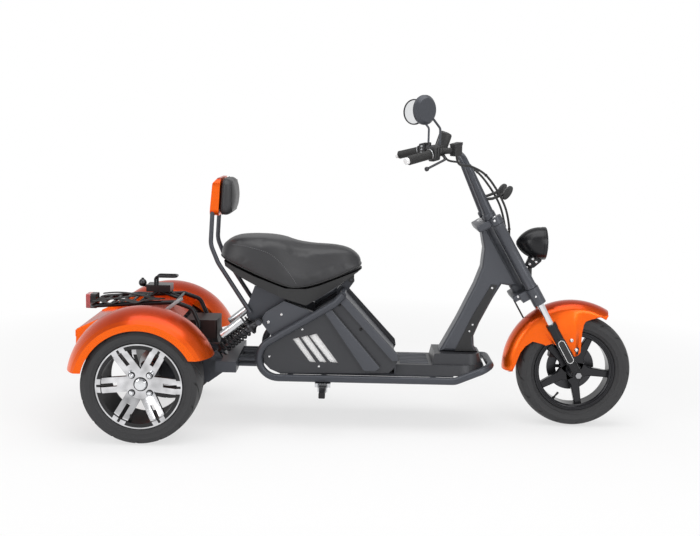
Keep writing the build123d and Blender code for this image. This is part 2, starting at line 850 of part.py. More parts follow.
for label, side in sides.items():
    inner, outer = sorted((side * panel_inner, side * panel_outer))
    face_low, face_high = sorted((side * panel_outer, side * (panel_outer + ridge_depth)))
    rib_low_y, rib_high_y = sorted((side * panel_outer, side * (panel_outer + rib_depth)))
    panel_sheet = plate(spread(panel_shares, panel_back, body_low, panel_length, panel_height), inner, outer)
    ridge = plate(spread(ridge_shares, ridge_back, ridge_low, ridge_length, ridge_height), face_low, face_high)
    rib = plate(spread(rib_shares, rib_back, rib_low, rib_length, rib_height), rib_low_y, rib_high_y)
    slots = [plate(slot_points(index), inner - overrun, outer + overrun) for index in range(slot_count)]
    tube_space = [
        bent_tube(frame_run(side)[:4], tube_radius + seat_gap, frame_bends[:2]),
        rod(
            at(frame_top_forward, frame_top, -frame_half), at(frame_top_forward, frame_top, frame_half),
            cross_tube_radius + seat_gap,
        ),
    ]
    with BuildPart() as side_panel:
        add(panel_sheet)
        add(ridge)
        add(rib)
        for cut in slots + tube_space:
            add(cut, mode=Mode.SUBTRACT)
    keep(side_panel.part, f"side_panel_{label}")

strips = []
for side in sides.values():
    strip_low, strip_high = sorted((side * panel_inner, side * (panel_inner + strip_thickness)))
    strips += [plate(slot_points(index), strip_low, strip_high) for index in range(slot_count)]
with BuildPart() as vent_strips:
    for strip in strips:
        add(strip)
keep(vent_strips.part, "vent_strips")

# The shocks stand between a bolt on the rear brackets and lugs on the rear arm
shock_y = 140.0
shock_eye_half = 15.0
eye_radius = 15.0
shock_top_forward = 432.0
shock_top = 440.0
shock_bolt_radius = 10.0

# Seat covers: small plates between the seat and the frame tube
cover_inner = 96.3
cover_back = 437.0
cover_low = 340.0
cover_length = 213.0
cover_height = 184.0
cover_shares = [
    (0.00, 0.54), (0.11, 0.75), (0.45, 1.00), (1.00, 0.76), (1.00, 0.50), (0.50, 0.10), (0.22, 0.20),
]
with BuildPart() as seat_covers:
    with BuildSketch(side_view()):
        with BuildLine():
            Polyline(*spread(cover_shares, cover_back, cover_low, cover_length, cover_height), close=True)
        make_face()
    extrude(amount=shell_half, both=True)
    with BuildSketch(side_view()):
        with Locations((rear_x + cover_back + cover_length / 2, cover_low)):
            Rectangle(2 * cover_length, 4 * cover_height)
    extrude(amount=cover_inner, both=True, mode=Mode.SUBTRACT)
    extrude(shell_clear, amount=shell_half + overrun, both=True, mode=Mode.SUBTRACT)
    with BuildSketch(side_view()):
        with Locations((rear_x + shock_top_forward, shock_top)):
            Circle(eye_radius + seat_gap)
    extrude(amount=shell_half + overrun, both=True, mode=Mode.SUBTRACT)
keep(seat_covers.part, "seat_covers")

# Rear brackets: two plates that carry the shock bolt and the backrest
bracket_outer = 96.0
bracket_thickness = 5.0
bracket_back = 378.0
bracket_low = 418.0
bracket_length = 182.0
bracket_height = 172.0
bracket_shares = [
    (0.01, 0.43), (0.00, 0.20), (0.23, 0.00), (0.50, 0.13), (0.86, 0.48), (1.00, 0.56),
    (0.67, 0.72), (0.18, 0.94),
]
rest_foot_forward = 394.0
rest_foot = 470.0
rest_tube_radius = 9.0
with BuildPart() as rear_brackets:
    for side in sides.values():
        outer_face = side * bracket_outer if side > 0 else -bracket_outer + bracket_thickness
        with BuildSketch(side_view(outer_face)):
            with BuildLine():
                Polyline(
                    *spread(bracket_shares, bracket_back, bracket_low, bracket_length, bracket_height),
                    close=True,
                )
            make_face()
            with Locations((rear_x + rest_foot_forward, rest_foot)):
                Circle(rest_tube_radius + sleeve_gap, mode=Mode.SUBTRACT)
        extrude(amount=bracket_thickness)
    add(rod(
        at(shock_top_forward, shock_top, -shock_y - shock_eye_half - shock_bolt_radius),
        at(shock_top_forward, shock_top, shock_y + shock_eye_half + shock_bolt_radius),
        shock_bolt_radius,
    ))
    extrude(shell_clear, amount=shell_half, both=True, mode=Mode.SUBTRACT)
keep(rear_brackets.part, "rear_brackets")

# Rear arm: two box beams from the axle to a cross box, and four links on to the frame's heel
beam_inner = 105.0
beam_outer = 145.0
beam_back = -46.0
beam_low = 184.0
beam_length = 394.0
beam_height = 101.0
beam_shares = [
    (0.00, 0.72), (0.00, 0.22), (0.30, 0.04), (0.70, 0.00), (0.86, 0.46), (1.00, 0.54),
    (1.00, 1.00), (0.28, 1.00), (0.12, 0.84),
]
cross_box_back = 264.0
cross_box_half = 200.0
cross_box_depth = 44.0
beam_end = beam_back + beam_length
beam_top = beam_low + beam_height
link_radius = 8.0
link_reach = 82.0
link_rows = (0.25, 0.75)
link_columns = (60.0, 100.0)
lug_back = 238.0
lug_low = 282.0
lug_length = 50.0
lug_height = 38.0
lug_thickness = 5.0
lug_shares = [(0.00, 0.00), (0.20, 0.80), (0.45, 1.00), (0.75, 0.80), (1.00, 0.00)]
shock_foot_forward = 262.0
shock_foot = 303.0
shock_foot_bolt_radius = 6.0
pivot_radius = 16.0
beams = [
    plate(spread(beam_shares, beam_back, beam_low, beam_length, beam_height), low, high)
    for low, high in ((beam_inner, beam_outer), (-beam_outer, -beam_inner))
]
lugs = []
for side in sides.values():
    for face in (shock_eye_half + seat_gap, -shock_eye_half - seat_gap - lug_thickness):
        low = side * shock_y + face
        lugs.append(plate(spread(lug_shares, lug_back, lug_low, lug_length, lug_height), low, low + lug_thickness))
links = []
for column in link_columns:
    for row in link_rows:
        for side in sides.values():
            height = beam_top - cross_box_depth + row * cross_box_depth
            links.append(rod(
                at(beam_end - overrun, height, side * column),
                at(beam_end + link_reach, height, side * column), link_radius,
            ))
foot_bolts = [
    rod(
        at(shock_foot_forward, shock_foot, side * shock_y - shock_eye_half - seat_gap - 2 * lug_thickness),
        at(shock_foot_forward, shock_foot, side * shock_y + shock_eye_half + seat_gap + 2 * lug_thickness),
        shock_foot_bolt_radius,
    )
    for side in sides.values()
]
pivot_height = beam_top - cross_box_depth / 2
pivot_tube = rod(
    at(beam_end + link_reach + pivot_radius / 2, pivot_height, -shell_half),
    at(beam_end + link_reach + pivot_radius / 2, pivot_height, shell_half), pivot_radius,
)
with BuildPart() as rear_arm:
    for piece in beams + lugs + links:
        add(piece)
    add(pivot_tube)
    with BuildSketch(Plane.XY.offset(beam_top)):
        with Locations((rear_x + (cross_box_back + beam_end) / 2, 0)):
            Rectangle(beam_end - cross_box_back, 2 * cross_box_half)
    extrude(amount=-cross_box_depth)
    with BuildSketch(side_view()):
        with Locations((rear_x, rear_z)):
            Circle(axle_tube_radius + sleeve_gap)
    extrude(amount=cross_box_half + overrun, both=True, mode=Mode.SUBTRACT)
    for bolt in foot_bolts:
        add(bolt)
keep(rear_arm.part, "rear_arm")

# Shocks: a coil spring over a damper, with a bright reservoir above
damper_radius = 11.0
spring_radius = 24.0
spring_wire = 5.0
spring_turns = 8
spring_start_share = 0.16
spring_end_share = 0.80
reservoir_radius = 17.0
reservoir_lift = spring_radius + spring_wire + reservoir_radius + seat_gap
reservoir_start_share = 0.30
reservoir_end_share = 0.78
clamp_half = 7.0
shock_pieces = []
shock_bores = []
reservoirs = []
for side in sides.values():
    low_eye = Vector(*at(shock_foot_forward, shock_foot, side * shock_y))
    high_eye = Vector(*at(shock_top_forward, shock_top, side * shock_y))
    run = high_eye - low_eye
    across = Vector(0, 1, 0)
    lift = across.cross(run).normalized() * -1
    spring_start = low_eye + run * spring_start_share
    spring_run = run * (spring_end_share - spring_start_share)
    half_wire = run.normalized() * spring_wire
    shock_pieces.append(rod(low_eye, high_eye, damper_radius))
    for eye in (low_eye, high_eye):
        shock_pieces.append(rod(eye - across * shock_eye_half, eye + across * shock_eye_half, eye_radius))
    for turn in range(spring_turns):
        middle = spring_start + spring_run * ((turn + 0.5) / spring_turns)
        shock_pieces.append(rod(middle - half_wire, middle + half_wire, spring_radius))
    for middle in (spring_start, spring_start + spring_run):
        shock_pieces.append(rod(middle - half_wire, middle + half_wire, spring_radius + spring_wire))
    for eye, bolt in ((low_eye, shock_foot_bolt_radius), (high_eye, shock_bolt_radius)):
        shock_bores.append(rod(eye - across * overrun, eye + across * overrun, bolt + sleeve_gap))
    reservoirs.append(rod(
        low_eye + run * reservoir_start_share + lift * reservoir_lift,
        low_eye + run * reservoir_end_share + lift * reservoir_lift, reservoir_radius,
    ))
with BuildPart() as shocks:
    for piece in shock_pieces:
        add(piece)
    for bore in shock_bores:
        add(bore, mode=Mode.SUBTRACT)
keep(shocks.part, "shocks")

with BuildPart() as shock_reservoirs:
    for reservoir in reservoirs:
        add(reservoir)
keep(shock_reservoirs.part, "shock_reservoirs")

# Deck: a moulded floor with sloped sides, and a collar that takes the head column's foot
deck_back = shell_back + shell_length + seat_gap
deck_length = 386.0
deck_half = 130.0
deck_top = 268.0
deck_slope = 25.0
deck_corner = 120.0
deck_wall = 5.0
collar_back = 1143.0
collar_length_low = 211.0
collar_half = 96.0
collar_top = 311.0
collar_slope = 12.0
collar_corner = 60.0


def deck_sketch(grow, height):
    """The plan of the deck: square at the back and rounded at the nose."""
    with BuildSketch(Plane.XY.offset(height)) as plan:
        with Locations((rear_x + deck_back - overrun + (deck_length + overrun) / 2, 0)):
            Rectangle(deck_length + overrun + 2 * grow, 2 * deck_half + 2 * grow)
        fillet(plan.vertices().group_by(Axis.X)[-1], deck_corner)
    return plan.sketch


deck_plan = deck_sketch(0, body_low)
deck_hollow = deck_sketch(-deck_wall, body_low)
with BuildPart() as deck_pan:
    extrude(deck_plan, amount=deck_top - body_low, taper=deck_slope)
    extrude(deck_hollow, amount=deck_top - deck_wall - body_low, taper=deck_slope, mode=Mode.SUBTRACT)
    with BuildSketch(Plane.XY.offset(deck_top - deck_wall)) as collar_plan:
        with Locations((rear_x + collar_back + collar_length_low / 2, 0)):
            Rectangle(collar_length_low, 2 * collar_half)
        fillet(collar_plan.vertices().group_by(Axis.X)[-1], collar_corner)
    extrude(amount=deck_wall + collar_top - deck_top, taper=collar_slope)
    split(bisect_by=Plane(origin=at(deck_back, 0), z_dir=(1, 0, 0)), keep=Keep.TOP)
keep(deck_pan.part, "deck_pan")

# Head column: a tall box from the deck's collar to the head tube, dished towards the rider
column_half = 48.0
column_round = 14.0
column_back = 1176.0
column_length = 322.0
column_height = 522.0
column_shares = [
    (0.00, 0.00), (0.22, 0.26), (0.43, 0.54), (0.51, 0.68), (0.53, 0.83), (0.49, 0.95), (0.46, 1.00),
    (0.55, 1.00), (0.99, 0.54), (0.88, 0.54), (0.77, 0.55), (0.67, 0.44), (0.51, 0.24),
    (0.44, 0.13), (0.45, 0.05), (0.50, 0.00),
]
head_tube_radius = 27.0
bearing_gap = 0.5
trim_depth = 3.0
trim_back = 1240.0
trim_length = 166.0
trim_height = 282.0
trim_low = 316.0
trim_shares = [
    (0.00, 0.00), (0.42, 0.54), (0.85, 1.00), (1.00, 0.99), (0.85, 0.80), (0.55, 0.42), (0.40, 0.20),
    (0.42, 0.08), (0.50, 0.00),
]
trim_low_share = 0.02
column_low = collar_top + seat_gap
head_start = lower_yoke_top + bearing_gap
head_end = upper_yoke_low - bearing_gap
head_tube = rod(steer_point(head_start, stem_offset), steer_point(head_end, stem_offset), head_tube_radius)
head_bore = rod(
    steer_point(head_start - overrun, stem_offset), steer_point(head_end + overrun, stem_offset),
    stem_radius + running_gap,
)
with BuildPart() as head_column:
    with BuildSketch(side_view()):
        with BuildLine():
            Polyline(
                *spread(column_shares, column_back, column_low, column_length, column_height), close=True
            )
        make_face()
    extrude(amount=column_half, both=True)
    fillet(
        head_column.faces().sort_by(Axis.Y)[0].edges() + head_column.faces().sort_by(Axis.Y)[-1].edges(),
        column_round,
    )
    with BuildSketch(steer_plane(head_end, stem_offset)):
        Rectangle(4 * column_half, 4 * column_half)
    extrude(amount=2 * overrun, mode=Mode.SUBTRACT)
    with BuildSketch(steer_plane(head_start - 2 * overrun, -column_half + stem_offset)):
        Rectangle(2 * column_half, 4 * column_half)
    extrude(amount=head_end, mode=Mode.SUBTRACT)
    add(head_tube)
    add(head_bore, mode=Mode.SUBTRACT)
keep(head_column.part, "head_column")

with BuildPart() as column_trim:
    for side in sides.values():
        face = side * (column_half + seat_gap) if side < 0 else column_half + seat_gap + trim_depth
        with BuildSketch(side_view(face)):
            with BuildLine():
                Polyline(*spread(trim_shares, trim_back, trim_low, trim_length, trim_height), close=True)
            make_face()
        extrude(amount=trim_depth)
keep(column_trim.part, "column_trim")

# Seat: a moulded base on a front hinge, and a cushion wide at the back and narrow at the nose
seat_back = 262.0
seat_length = 590.0
seat_half = 165.0
cushion_low = 574.0
cushion_height = 206.0
cushion_round = 34.0
cushion_top_shares = [
    (0.00, 0.64), (0.03, 0.82), (0.09, 0.94), (0.16, 0.99), (0.30, 1.00), (0.40, 0.97), (0.55, 0.84),
    (0.71, 0.82), (0.84, 0.81), (0.92, 0.75), (0.98, 0.62), (1.00, 0.48),
]
seam_shares = [(0.99, 0.38), (0.70, 0.06), (0.61, 0.00), (0.47, 0.02), (0.26, 0.25), (0.04, 0.52)]
base_low_shares = [(0.05, 0.42), (0.16, 0.23), (0.42, -0.13), (0.52, -0.24), (0.61, -0.33),
                   (0.75, -0.09), (0.95, 0.30)]
seat_plan_shares = [
    (0.00, 0.40), (0.04, 0.70), (0.12, 0.90), (0.26, 1.00), (0.42, 0.96), (0.58, 0.80), (0.72, 0.64),
    (0.86, 0.56), (0.96, 0.44), (1.00, 0.26),
]
base_inset = 6.0


def seat_plan(grow):
    """The seat's plan outline, as a sketch on the ground."""
    points = [(rear_x + seat_back + u * seat_length, v * seat_half) for u, v in seat_plan_shares]
    with BuildSketch() as plan:
        with BuildLine():
            Polyline(*points, *[(x, -y) for x, y in points[::-1]], close=True)
        make_face()
        if grow:
            offset(amount=grow, kind=Kind.INTERSECTION)
    return plan.sketch


cushion_plan = seat_plan(0)
base_plan = seat_plan(-base_inset)
seat_top = cushion_low + cushion_height
with BuildPart() as seat_cushion:
    with BuildSketch(side_view()):
        with BuildLine():
            Polyline(
                *spread(
                    cushion_top_shares + seam_shares, seat_back, cushion_low,
                    seat_length, cushion_height,
                ),
                close=True,
            )
        make_face()
    extrude(amount=seat_half, both=True)
    extrude(cushion_plan, amount=seat_top + overrun, mode=Mode.INTERSECT)
keep(seat_cushion.part, "seat_cushion")

hinge_forward = 803.0
hinge_height = 603.0
hinge_pin_radius = 5.0
hinge_eye_radius = 12.0
hinge_half = 24.0
hinge_ear_gap = 1.0
hinge_ear_thickness = 12.0
hinge_foot_shares = [
    (0.00, 0.00), (0.45, 0.00), (1.00, 0.80), (0.93, 1.00), (0.62, 0.98), (0.00, 0.30),
]
hinge_back = 745.0
hinge_low = 538.0
hinge_length = 72.0
hinge_rise = 72.0
ear_inner = hinge_half + hinge_ear_gap
ear_outer = ear_inner + hinge_ear_thickness
with BuildPart() as seat_base:
    with BuildSketch(side_view()):
        with BuildLine():
            Polyline(
                *spread(
                    base_low_shares + seam_shares, seat_back, cushion_low - seat_gap,
                    seat_length, cushion_height,
                ),
                close=True,
            )
        make_face()
    extrude(amount=seat_half, both=True)
    extrude(base_plan, amount=seat_top, mode=Mode.INTERSECT)
    for side in sides.values():
        low_face, high_face = sorted((side * ear_inner, side * ear_outer))
        with BuildSketch(side_view(high_face)):
            with Locations((rear_x + hinge_forward, hinge_height)):
                Circle(hinge_eye_radius)
            with Locations((rear_x + hinge_forward, hinge_height + hinge_eye_radius)):
                Rectangle(2 * hinge_eye_radius, 2 * hinge_eye_radius)
        extrude(amount=high_face - low_face)
    with BuildSketch(side_view()):
        with Locations((rear_x + hinge_forward, hinge_height)):
            Circle(hinge_pin_radius + running_gap)
    extrude(amount=seat_half, both=True, mode=Mode.SUBTRACT)
keep(seat_base.part, "seat_base")

with BuildPart() as seat_hinge:
    with BuildSketch(side_view()):
        with BuildLine():
            Polyline(
                *spread(hinge_foot_shares, hinge_back, hinge_low, hinge_length, hinge_rise), close=True
            )
        make_face()
    extrude(amount=hinge_half, both=True)
    with BuildSketch(side_view()):
        with Locations((rear_x + hinge_forward, hinge_height)):
            Circle(hinge_eye_radius - hinge_ear_gap)
    extrude(amount=hinge_half, both=True)
    with BuildSketch(side_view()):
        with Locations((rear_x + hinge_forward, hinge_height)):
            Circle(hinge_pin_radius)
    extrude(amount=ear_outer + hinge_ear_gap, both=True)
    extrude(shell_clear, amount=seat_half, both=True, mode=Mode.SUBTRACT)
    with BuildSketch(side_view()):
        with Locations((rear_x + frame_top_forward, frame_top)):
            Circle(cross_tube_radius + seat_gap)
    extrude(amount=seat_half, both=True, mode=Mode.SUBTRACT)
keep(seat_hinge.part, "seat_hinge")

# Rear fenders: wide domed blades about the axle with a flared lip, one over each rear wheel
fender_crown = 296.0
fender_inner_face = 205.0
fender_outer_face = 431.0
fender_shoulder = 262.0
fender_flare = 13.0
fender_flare_drop = 14.0
fender_opening = 222.0
fender_inner_skirt = 236.0
fender_back = -320.0
fender_low = 283.0
fender_length = 640.0
fender_height = 285.0
fender_shares = [(0.00, 0.00), (0.40, 0.00), (0.60, 0.20), (1.00, 0.20), (1.00, 1.00), (0.00, 1.00)]
fender_middle = (fender_inner_face + fender_outer_face) / 2


def fender_section(side, drop):
    """The fender's outer line down to its lip, or its inner line where dropped by a wall."""
    low = fender_opening - 2 * drop
    inner = side * (fender_inner_face + drop)
    outer = side * (fender_outer_face - drop)
    edge = side * (fender_outer_face - fender_flare - drop)
    shoulder = fender_shoulder - drop
    with BuildSketch(Plane(origin=at(0, rear_z))) as lines:
        with BuildLine():
            Polyline((low, outer), (low, inner), (shoulder, inner))
            ThreePointArc((shoulder, inner), (fender_crown - drop, side * fender_middle), (shoulder, edge))
            Polyline((shoulder, edge), (shoulder - fender_flare_drop, outer), (low, outer))
        make_face()
    return lines.sketch


for label, side in sides.items():
    outer_section = fender_section(side, 0)
    inner_section = fender_section(side, fender_wall)
    with BuildPart() as rear_fender:
        revolve(outer_section, axis=Axis(at(0, rear_z), (0, 1, 0)))
        revolve(inner_section, axis=Axis(at(0, rear_z), (0, 1, 0)), mode=Mode.SUBTRACT)
        with BuildSketch(side_view()):
            with BuildLine():
                Polyline(
                    *spread(fender_shares, fender_back, fender_low, fender_length, fender_height),
                    close=True,
                )
            make_face()
        extrude(amount=fender_outer_face + overrun, both=True, mode=Mode.INTERSECT)
        with BuildSketch(side_view(side * fender_middle)):
            with Locations((rear_x, rear_z)):
                Circle(fender_inner_skirt)
        extrude(amount=side * fender_middle, mode=Mode.SUBTRACT)
    keep(rear_fender.part, f"rear_fender_{label}")

# Tail panel between the rear fenders, with a reflector at each end
tail_half = fender_inner_face - seat_gap
tail_back = -293.0
tail_low = 376.0
tail_length = 403.0
tail_height = 96.0
tail_wall = 4.0
tail_shares = [(0.00, 0.00), (0.00, 0.27), (0.19, 0.46), (0.58, 1.00), (0.88, 1.00), (1.00, 0.62)]
with BuildPart() as tail_panel:
    with BuildSketch(side_view()):
        with BuildLine():
            Polyline(*spread(tail_shares, tail_back, tail_low, tail_length, tail_height))
            offset(amount=tail_wall, side=Side.RIGHT)
        make_face()
    extrude(amount=tail_half, both=True)
keep(tail_panel.part, "tail_panel")

# Rear rack: a looped rail over the tail panel, with cross bars, a lamp housing and a clamp box
rail_radius = 9.0
rail_half = 110.0
rail_bend = 40.0
rail_corner = 30.0
rail_points = [(185.0, 420.0), (158.0, 482.0), (90.0, 506.0), (-60.0, 498.0), (-255.0, 484.0)]
slat_radius = 6.0
slat_count = 5
stay_radius = 7.0
stay_height = 398.0
rack_post_forward = -60.0
lamp_box_half = 32.0
lamp_box_low = 457.0
lamp_box_height = 60.0
lamp_box_depth = 23.0
tail_lens_depth = 17.7
clamp_box_back = -44.0
clamp_box_length = 100.0
clamp_box_half = 38.0
clamp_box_low = 535.0
clamp_box_height = 28.0
ring_radius = 5.0
ring_forward = 34.0
ring_reach = 43.0
ring_half = 26.0
ring_height = 597.0
ring_bend = 14.0
ball_radius = 9.0
rail_foot = beam_top + seat_gap


def rail_run(side):
    """The corners of the rack's rail on one side, from its foot to the tail."""
    foot = Vector(*at(rail_points[0][0], rail_foot, side * rail_half))
    return [foot] + [Vector(*at(forward, up, side * rail_half)) for forward, up in rail_points]


rail_bends = [rail_bend] * (len(rail_points) - 1) + [rail_corner]
rack_pieces = [bent_tube(rail_run(-1) + rail_run(1)[::-1], rail_radius, rail_bends + rail_bends[::-1])]
rear_run = rail_run(1)[-2:]
slat_start, slat_end = rear_run
for index in range(slat_count):
    spot = slat_start + (slat_end - slat_start) * (index / slat_count)
    rack_pieces.append(rod((spot.X, -rail_half, spot.Z), (spot.X, rail_half, spot.Z), slat_radius))
front_slat = rail_run(1)[3]
rack_pieces.append(
    rod((front_slat.X, -rail_half, front_slat.Z), (front_slat.X, rail_half, front_slat.Z), slat_radius)
)
rack_pieces.append(rod(
    at(rail_points[0][0], stay_height, -tail_half), at(rail_points[0][0], stay_height, tail_half), stay_radius
))
tail_top = tail_low + tail_height + seat_gap
for side in sides.values():
    rack_pieces.append(rod(
        at(rack_post_forward, tail_top, side * rail_half),
        at(rack_post_forward, slat_start.Z, side * rail_half), slat_radius,
    ))
clamp_middle = clamp_box_back + clamp_box_length / 2
for side in sides.values():
    rack_pieces.append(rod(
        at(rack_post_forward, slat_start.Z, side * clamp_box_half / 2),
        at(clamp_middle, clamp_box_low, side * clamp_box_half / 2), slat_radius,
    ))
    rack_pieces.append(rod(
        at(rail_points[2][0], front_slat.Z, side * clamp_box_half / 2),
        at(clamp_middle, clamp_box_low, side * clamp_box_half / 2), slat_radius,
    ))
ring_base = clamp_box_low + clamp_box_height / 2
rack_pieces.append(bent_tube(
    [
        at(ring_forward - ring_reach, ring_base, -ring_half),
        at(ring_forward - ring_reach, ring_height, -ring_half),
        at(ring_forward + ring_reach, ring_height, -ring_half),
        at(ring_forward + ring_reach, ring_height, ring_half),
        at(ring_forward - ring_reach, ring_height, ring_half),
        at(ring_forward - ring_reach, ring_base, ring_half),
    ],
    ring_radius, ring_bend,
))


def tail_view(forward):
    """A plane across the trike that faces backwards, with its own y up."""
    return Plane(origin=at(forward, 0), x_dir=(0, -1, 0), z_dir=(-1, 0, 0))


with BuildPart() as rear_rack:
    for piece in rack_pieces:
        add(piece)
    with BuildSketch(tail_view(rail_points[-1][0])):
        with Locations((0, lamp_box_low + lamp_box_height / 2)):
            RectangleRounded(2 * lamp_box_half, lamp_box_height, rail_radius)
    extrude(amount=lamp_box_depth)
    with BuildSketch(Plane.XY.offset(clamp_box_low)):
        with Locations((rear_x + clamp_middle, 0)):
            Rectangle(clamp_box_length, 2 * clamp_box_half)
    extrude(amount=clamp_box_height)
    with Locations(at(clamp_box_back, clamp_box_low + clamp_box_height + ball_radius / 2)):
        Sphere(ball_radius)
keep(rear_rack.part, "rear_rack")

# Tail lamps: the lens on the rack and a reflector at each end of the tail panel
reflector_half = 22.0
reflector_out = 172.0
reflector_height = 20.0
reflector_rise = 14.0
reflector_depth = 2.7
with BuildPart() as tail_lamps:
    with BuildSketch(tail_view(rail_points[-1][0] - lamp_box_depth - seat_gap)):
        with Locations((0, lamp_box_low + lamp_box_height / 2)):
            RectangleRounded(2 * lamp_box_half, lamp_box_height, rail_radius)
    extrude(amount=tail_lens_depth)
    with BuildSketch(tail_view(tail_back - seat_gap)):
        for side in sides.values():
            with Locations((side * reflector_out, tail_low + reflector_rise)):
                Rectangle(2 * reflector_half, reflector_height)
    extrude(amount=reflector_depth)
keep(tail_lamps.part, "tail_lamps")

# Controller box, hung on the rack's stay
controller_back = 125.0
controller_length = 130.0
controller_half = 78.0
controller_low = 352.0
controller_height = 76.0
controller_round = 10.0
with BuildPart() as controller_box:
    with BuildSketch(Plane.XY.offset(controller_low)):
        with Locations((rear_x + controller_back + controller_length / 2, 0)):
            RectangleRounded(controller_length, 2 * controller_half, controller_round)
    extrude(amount=controller_height)
    with BuildSketch(side_view()):
        with Locations((rear_x + rail_points[0][0], stay_height)):
            Circle(stay_radius + sleeve_gap)
    extrude(amount=2 * controller_half, both=True, mode=Mode.SUBTRACT)
keep(controller_box.part, "controller_box")

# Backrest: two tubes from the rear brackets, a painted shell and a pad
rest_half = 120.0
rest_tube_y = 106.0
rest_bend = 90.0
rest_corner = 36.0
rest_back = 228.0
rest_low = 862.0
rest_length = 84.0
rest_height = 152.0
rest_lower_forward = 262.0
rest_lower = 672.0
rest_upper_forward = 232.0
rest_upper = 745.0
rest_end_forward = 240.0
rest_end = 900.0
shell_rest_shares = [(0.00, 0.02), (0.14, 0.86), (0.36, 1.00), (0.52, 1.00), (0.42, 0.00)]
pad_rest_shares = [
    (0.42, 0.00), (0.52, 1.00), (0.76, 0.95), (0.98, 0.70), (1.00, 0.42), (0.90, 0.14), (0.72, 0.00),
]


def rest_tube(side, radius, extra):
    """A backrest tube, from its foot on the brackets to its end in the shell."""
    return bent_tube(
        [
            at(rest_foot_forward, rest_foot, side * rest_tube_y),
            at(rest_lower_forward, rest_lower, side * rest_tube_y),
            at(rest_upper_forward, rest_upper, side * rest_tube_y),
            at(rest_end_forward, rest_end + extra, side * rest_tube_y),
        ],
        radius, rest_bend,
    )


rest_pieces = [rest_tube(side, rest_tube_radius, 0) for side in sides.values()]
rest_pieces.append(rod(
    at(rest_foot_forward, rest_foot, -rest_tube_y), at(rest_foot_forward, rest_foot, rest_tube_y),
    rest_tube_radius,
))
rest_bores = [rest_tube(side, rest_tube_radius + sleeve_gap, seat_gap) for side in sides.values()]
with BuildPart() as backrest_frame:
    for piece in rest_pieces:
        add(piece)
keep(backrest_frame.part, "backrest_frame")


def rest_front():
    """The backrest's front view, with round corners."""
    with BuildSketch(Plane(origin=at(rest_back, 0), x_dir=(0, 1, 0), z_dir=(1, 0, 0))) as front:
        with Locations((0, rest_low + rest_height / 2)):
            RectangleRounded(2 * rest_half, rest_height, rest_corner)
    return front.sketch


front_view = rest_front()
with BuildPart() as backrest_shell:
    with BuildSketch(side_view()):
        with BuildLine():
            Polyline(*spread(shell_rest_shares, rest_back, rest_low, rest_length, rest_height), close=True)
        make_face()
    extrude(amount=rest_half, both=True)
    extrude(front_view, amount=rest_length, mode=Mode.INTERSECT)
    for bore in rest_bores:
        add(bore, mode=Mode.SUBTRACT)
keep(backrest_shell.part, "backrest_shell")

with BuildPart() as backrest_pad:
    with BuildSketch(side_view()):
        with BuildLine():
            Polyline(
                *spread(pad_rest_shares, rest_back + seat_gap, rest_low, rest_length, rest_height),
                close=True,
            )
        make_face()
    extrude(amount=rest_half, both=True)
    extrude(front_view, amount=rest_length + overrun, mode=Mode.INTERSECT)
keep(backrest_pad.part, "backrest_pad")

# Footpegs: each folds up on a pin in a bracket under the frame tube
peg_forward = 696.0
peg_bracket_half = 32.0
peg_bracket_inner = 140.0
peg_bracket_outer = 172.0
peg_plate_thickness = 16.0
peg_ear_thickness = 5.0
peg_root_half = 14.0
peg_pin_y = 190.0
peg_pin_height = 176.0
peg_pin_radius = 4.0
peg_eye_radius = 9.0
peg_side_gap = 0.5
peg_half = 13.0
peg_start = 208.0
peg_end = 285.0
peg_depth = 22.0
peg_plate_top = frame_low - tube_radius - seat_gap
with BuildPart() as peg_brackets:
    for side in sides.values():
        bracket_y = (peg_bracket_inner + peg_bracket_outer) / 2
        with BuildSketch(Plane.XY.offset(peg_plate_top)):
            with Locations((rear_x + peg_forward, side * bracket_y)):
                Rectangle(2 * peg_bracket_half, peg_bracket_outer - peg_bracket_inner)
        extrude(amount=-peg_plate_thickness)
        for end in (-1, 1):
            ear_face = rear_x + peg_forward + end * (peg_root_half + peg_side_gap)
            with BuildSketch(Plane(origin=(ear_face, 0, 0), x_dir=(0, 1, 0), z_dir=(1, 0, 0))):
                with BuildLine():
                    Polyline(
                        (side * bracket_y, peg_plate_top),
                        (side * peg_bracket_outer, peg_plate_top),
                        (side * (peg_pin_y + peg_eye_radius), peg_pin_height + peg_eye_radius),
                        (side * (peg_pin_y + peg_eye_radius), peg_pin_height - peg_eye_radius),
                        (side * peg_pin_y, peg_pin_height - peg_eye_radius),
                        (side * bracket_y, peg_plate_top - peg_plate_thickness), close=True,
                    )
                make_face()
            extrude(amount=end * peg_ear_thickness)
        pin_start = rear_x + peg_forward - peg_root_half - peg_ear_thickness
        with BuildSketch(Plane(origin=(pin_start, side * peg_pin_y, peg_pin_height), z_dir=(1, 0, 0))):
            Circle(peg_pin_radius)
        extrude(amount=2 * (peg_root_half + peg_ear_thickness))
keep(peg_brackets.part, "peg_brackets")

for label, side in sides.items():
    root_plane = Plane(
        origin=(rear_x + peg_forward - peg_root_half, side * peg_pin_y, peg_pin_height),
        x_dir=(0, side, 0), z_dir=(1, 0, 0),
    )
    with BuildPart() as footpeg:
        with BuildSketch(root_plane):
            Circle(peg_eye_radius)
            with Locations(((peg_start - peg_pin_y) / 2, 0)):
                Rectangle(peg_start - peg_pin_y, 2 * peg_eye_radius)
            Circle(peg_pin_radius + running_gap, mode=Mode.SUBTRACT)
        extrude(amount=2 * peg_root_half)
        with BuildSketch(Plane(origin=(rear_x + peg_forward, side * peg_start, peg_pin_height),
                               x_dir=(1, 0, 0), z_dir=(0, side, 0))):
            RectangleRounded(2 * peg_half, peg_depth, peg_pin_radius)
        extrude(amount=peg_end - peg_start)
    keep(footpeg.part, f"footpeg_{label}")

